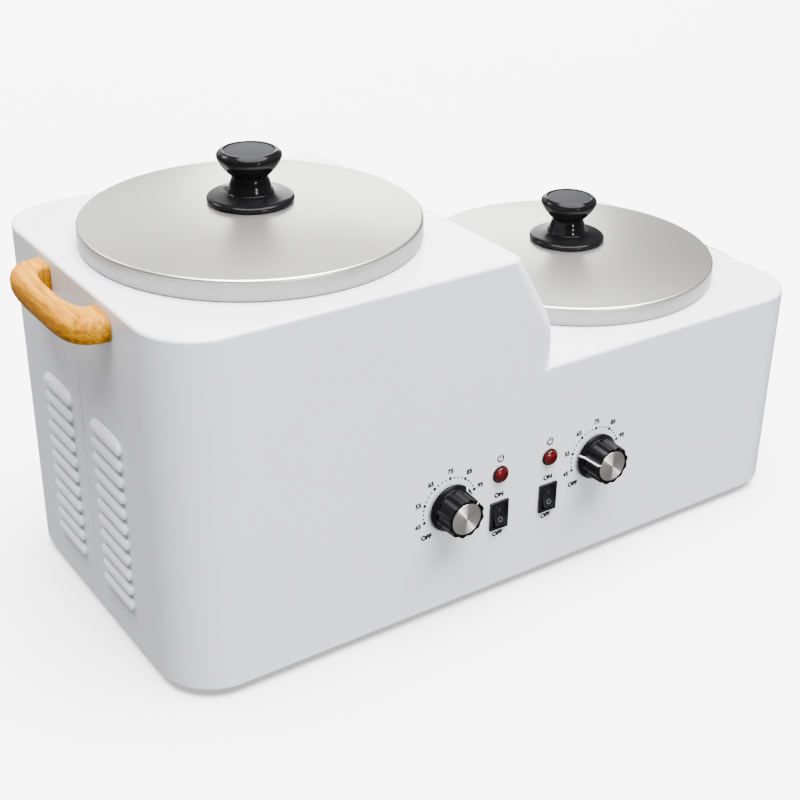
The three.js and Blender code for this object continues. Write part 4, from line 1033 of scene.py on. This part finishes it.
# Pieces whose solids are already right get their real finishes
finishes = {"base_plate": galvanised, "terminal_block": creamNylon}
for side in sides:
    finishes.update({
        side + "_heater_band": bandSteel, side + "_thermostat": galvanised,
        side + "_thermostat_nut": brass, side + "_sensing_bulb": copper,
    })
for name in ("line", "earth", "neutral"):
    finishes[name + "_pin"] = brass
for name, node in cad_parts.items():
    if "screw" in name or "shaft" in name:
        finishes[name] = zincSteel
    if name in finishes:
        for slot in node.material_slots:
            slot.material = finishes[name]
print("finishes set")


def makeStage():
    bpy.ops.mesh.primitive_plane_add(size=160, location=(0, 0, 0))
    floor = named("paleFloor")
    # White paper, matt, lit evenly enough to lose its edges
    material, tree, place = newMaterial("palePaperSweep")
    cloud = addNode(tree, "TexNoise", {"Vector": place, "Scale": 3, "Detail": 2})
    tone = addNode(tree, "Mix", {"Factor": cloud, "A": "F4F4F5", "B": "F8F8F9"}, data_type="RGBA")
    floor.data.materials.append(finishMaterial(material, {
        "Base Color": tone, "Roughness": 0.85, "Specular IOR Level": 0.1,
        "Emission Color": tone, "Emission Strength": 0.4}))
    floor.visible_diffuse = floor.visible_glossy = False  # the room's lower half lights from below
    floor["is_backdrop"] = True


def hang(name, light, place, back):  # back is the way that its rear points
    holder = bpy.data.objects.new(name, light)
    holder.location = place
    holder.rotation_euler = back.to_track_quat("Z", "Y").to_euler()
    bpy.context.scene.collection.objects.link(holder)


# Where each soft box hangs, its aim, its two sizes in metres and its power
softboxes = {
    "backSoftbox": ((1.35, 2.05, 0.95), (0, 0, 0.26), (1.1, 1.2), 30),
    "backLeftSoftbox": ((0.25, 2.5, 1.25), (0, 0, 0.26), (1.7, 1.1), 13),
    "frontSoftbox": ((0.05, -2.3, 0.55), (0, 0, 0.1), (0.3, 0.25), 42),
    "highLeftSoftbox": ((-0.9, 1.6, 1.7), (-0.14, 0, 0.26), (0.8, 0.6), 26),
}


def makeLight():
    world = bpy.data.worlds.new("softRoom")
    world.use_nodes = True
    tree = world.node_tree
    tree.nodes.clear()
    # Bright near the horizon, dimmer overhead and low on the right
    outlook = addNode(tree, "TexCoord").outputs["Generated"]
    way = addNode(tree, "SeparateXYZ", {"Vector": outlook}).outputs
    below = addNode(tree, "MapRange", {
        "Value": way["X"], "From Min": 0.1, "From Max": 0.7, "To Min": 0.6, "To Max": 0.12})
    above = addNode(tree, "MapRange", {
        "Value": way["Z"], "From Min": 0.1, "From Max": 0.35, "To Min": 0.6, "To Max": 0.25})
    glow = addNode(tree, "MapRange", {
        "Value": way["Z"], "From Min": -0.25, "From Max": -0.1, "To Min": below, "To Max": above})
    room = addNode(tree, "Background", {"Color": "FFFFFF", "Strength": glow})
    addNode(tree, "OutputWorld", {"Surface": room})
    bpy.context.scene.world = world
    sun = bpy.data.lights.new("ceilingLight", "SUN")
    sun.energy = 23
    sun.angle = math.radians(60)
    hang("ceilingLight", sun, (0, 0, 0), Vector((0.08, -0.1, 1)))
    for name, (place, target, size, power) in softboxes.items():
        light = bpy.data.lights.new(name, "AREA")
        light.shape = "RECTANGLE"
        light.size, light.size_y = size
        light.energy = power
        hang(name, light, place, Vector(place) - Vector(target))


view = {
    "place": (-575.74, -800.91, 617.18), "yaw": 34.40, "pitch": 27.61, "roll": 0.76,
    "focal": 1429.46, "middle": (396.2, 395.2), "pixels": 800, "sensor": 36, "clip": (0.05, 200),
}


def makeCamera():
    yaw, pitch, roll = (math.radians(view[key]) for key in ("yaw", "pitch", "roll"))
    ahead = Vector((math.sin(yaw) * math.cos(pitch), math.cos(yaw) * math.cos(pitch),
                    -math.sin(pitch)))
    side = Vector((math.cos(yaw), -math.sin(yaw), 0))
    up = side.cross(ahead)
    acrossRolled = side * math.cos(roll) + up * math.sin(roll)
    upRolled = up * math.cos(roll) - side * math.sin(roll)
    pixels, (x, y) = view["pixels"], view["middle"]
    data = bpy.data.cameras.new("photoCamera")
    data.sensor_width = view["sensor"]
    data.lens = view["focal"] * view["sensor"] / pixels
    data.shift_x = (pixels / 2 - x) / pixels
    data.shift_y = (y - pixels / 2) / pixels
    data.clip_start, data.clip_end = view["clip"]
    camera = bpy.data.objects.new("photoCamera", data)
    turn = Matrix((acrossRolled, upRolled, -ahead)).transposed().to_4x4()
    camera.matrix_world = Matrix.Translation(Vector(view["place"]) * mm) @ turn
    bpy.context.scene.collection.objects.link(camera)
    bpy.context.scene.camera = camera


makeStage()
makeLight()
makeCamera()
{"cad": cadBox, "scene": [list(corner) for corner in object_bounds()]}
print("scene made")
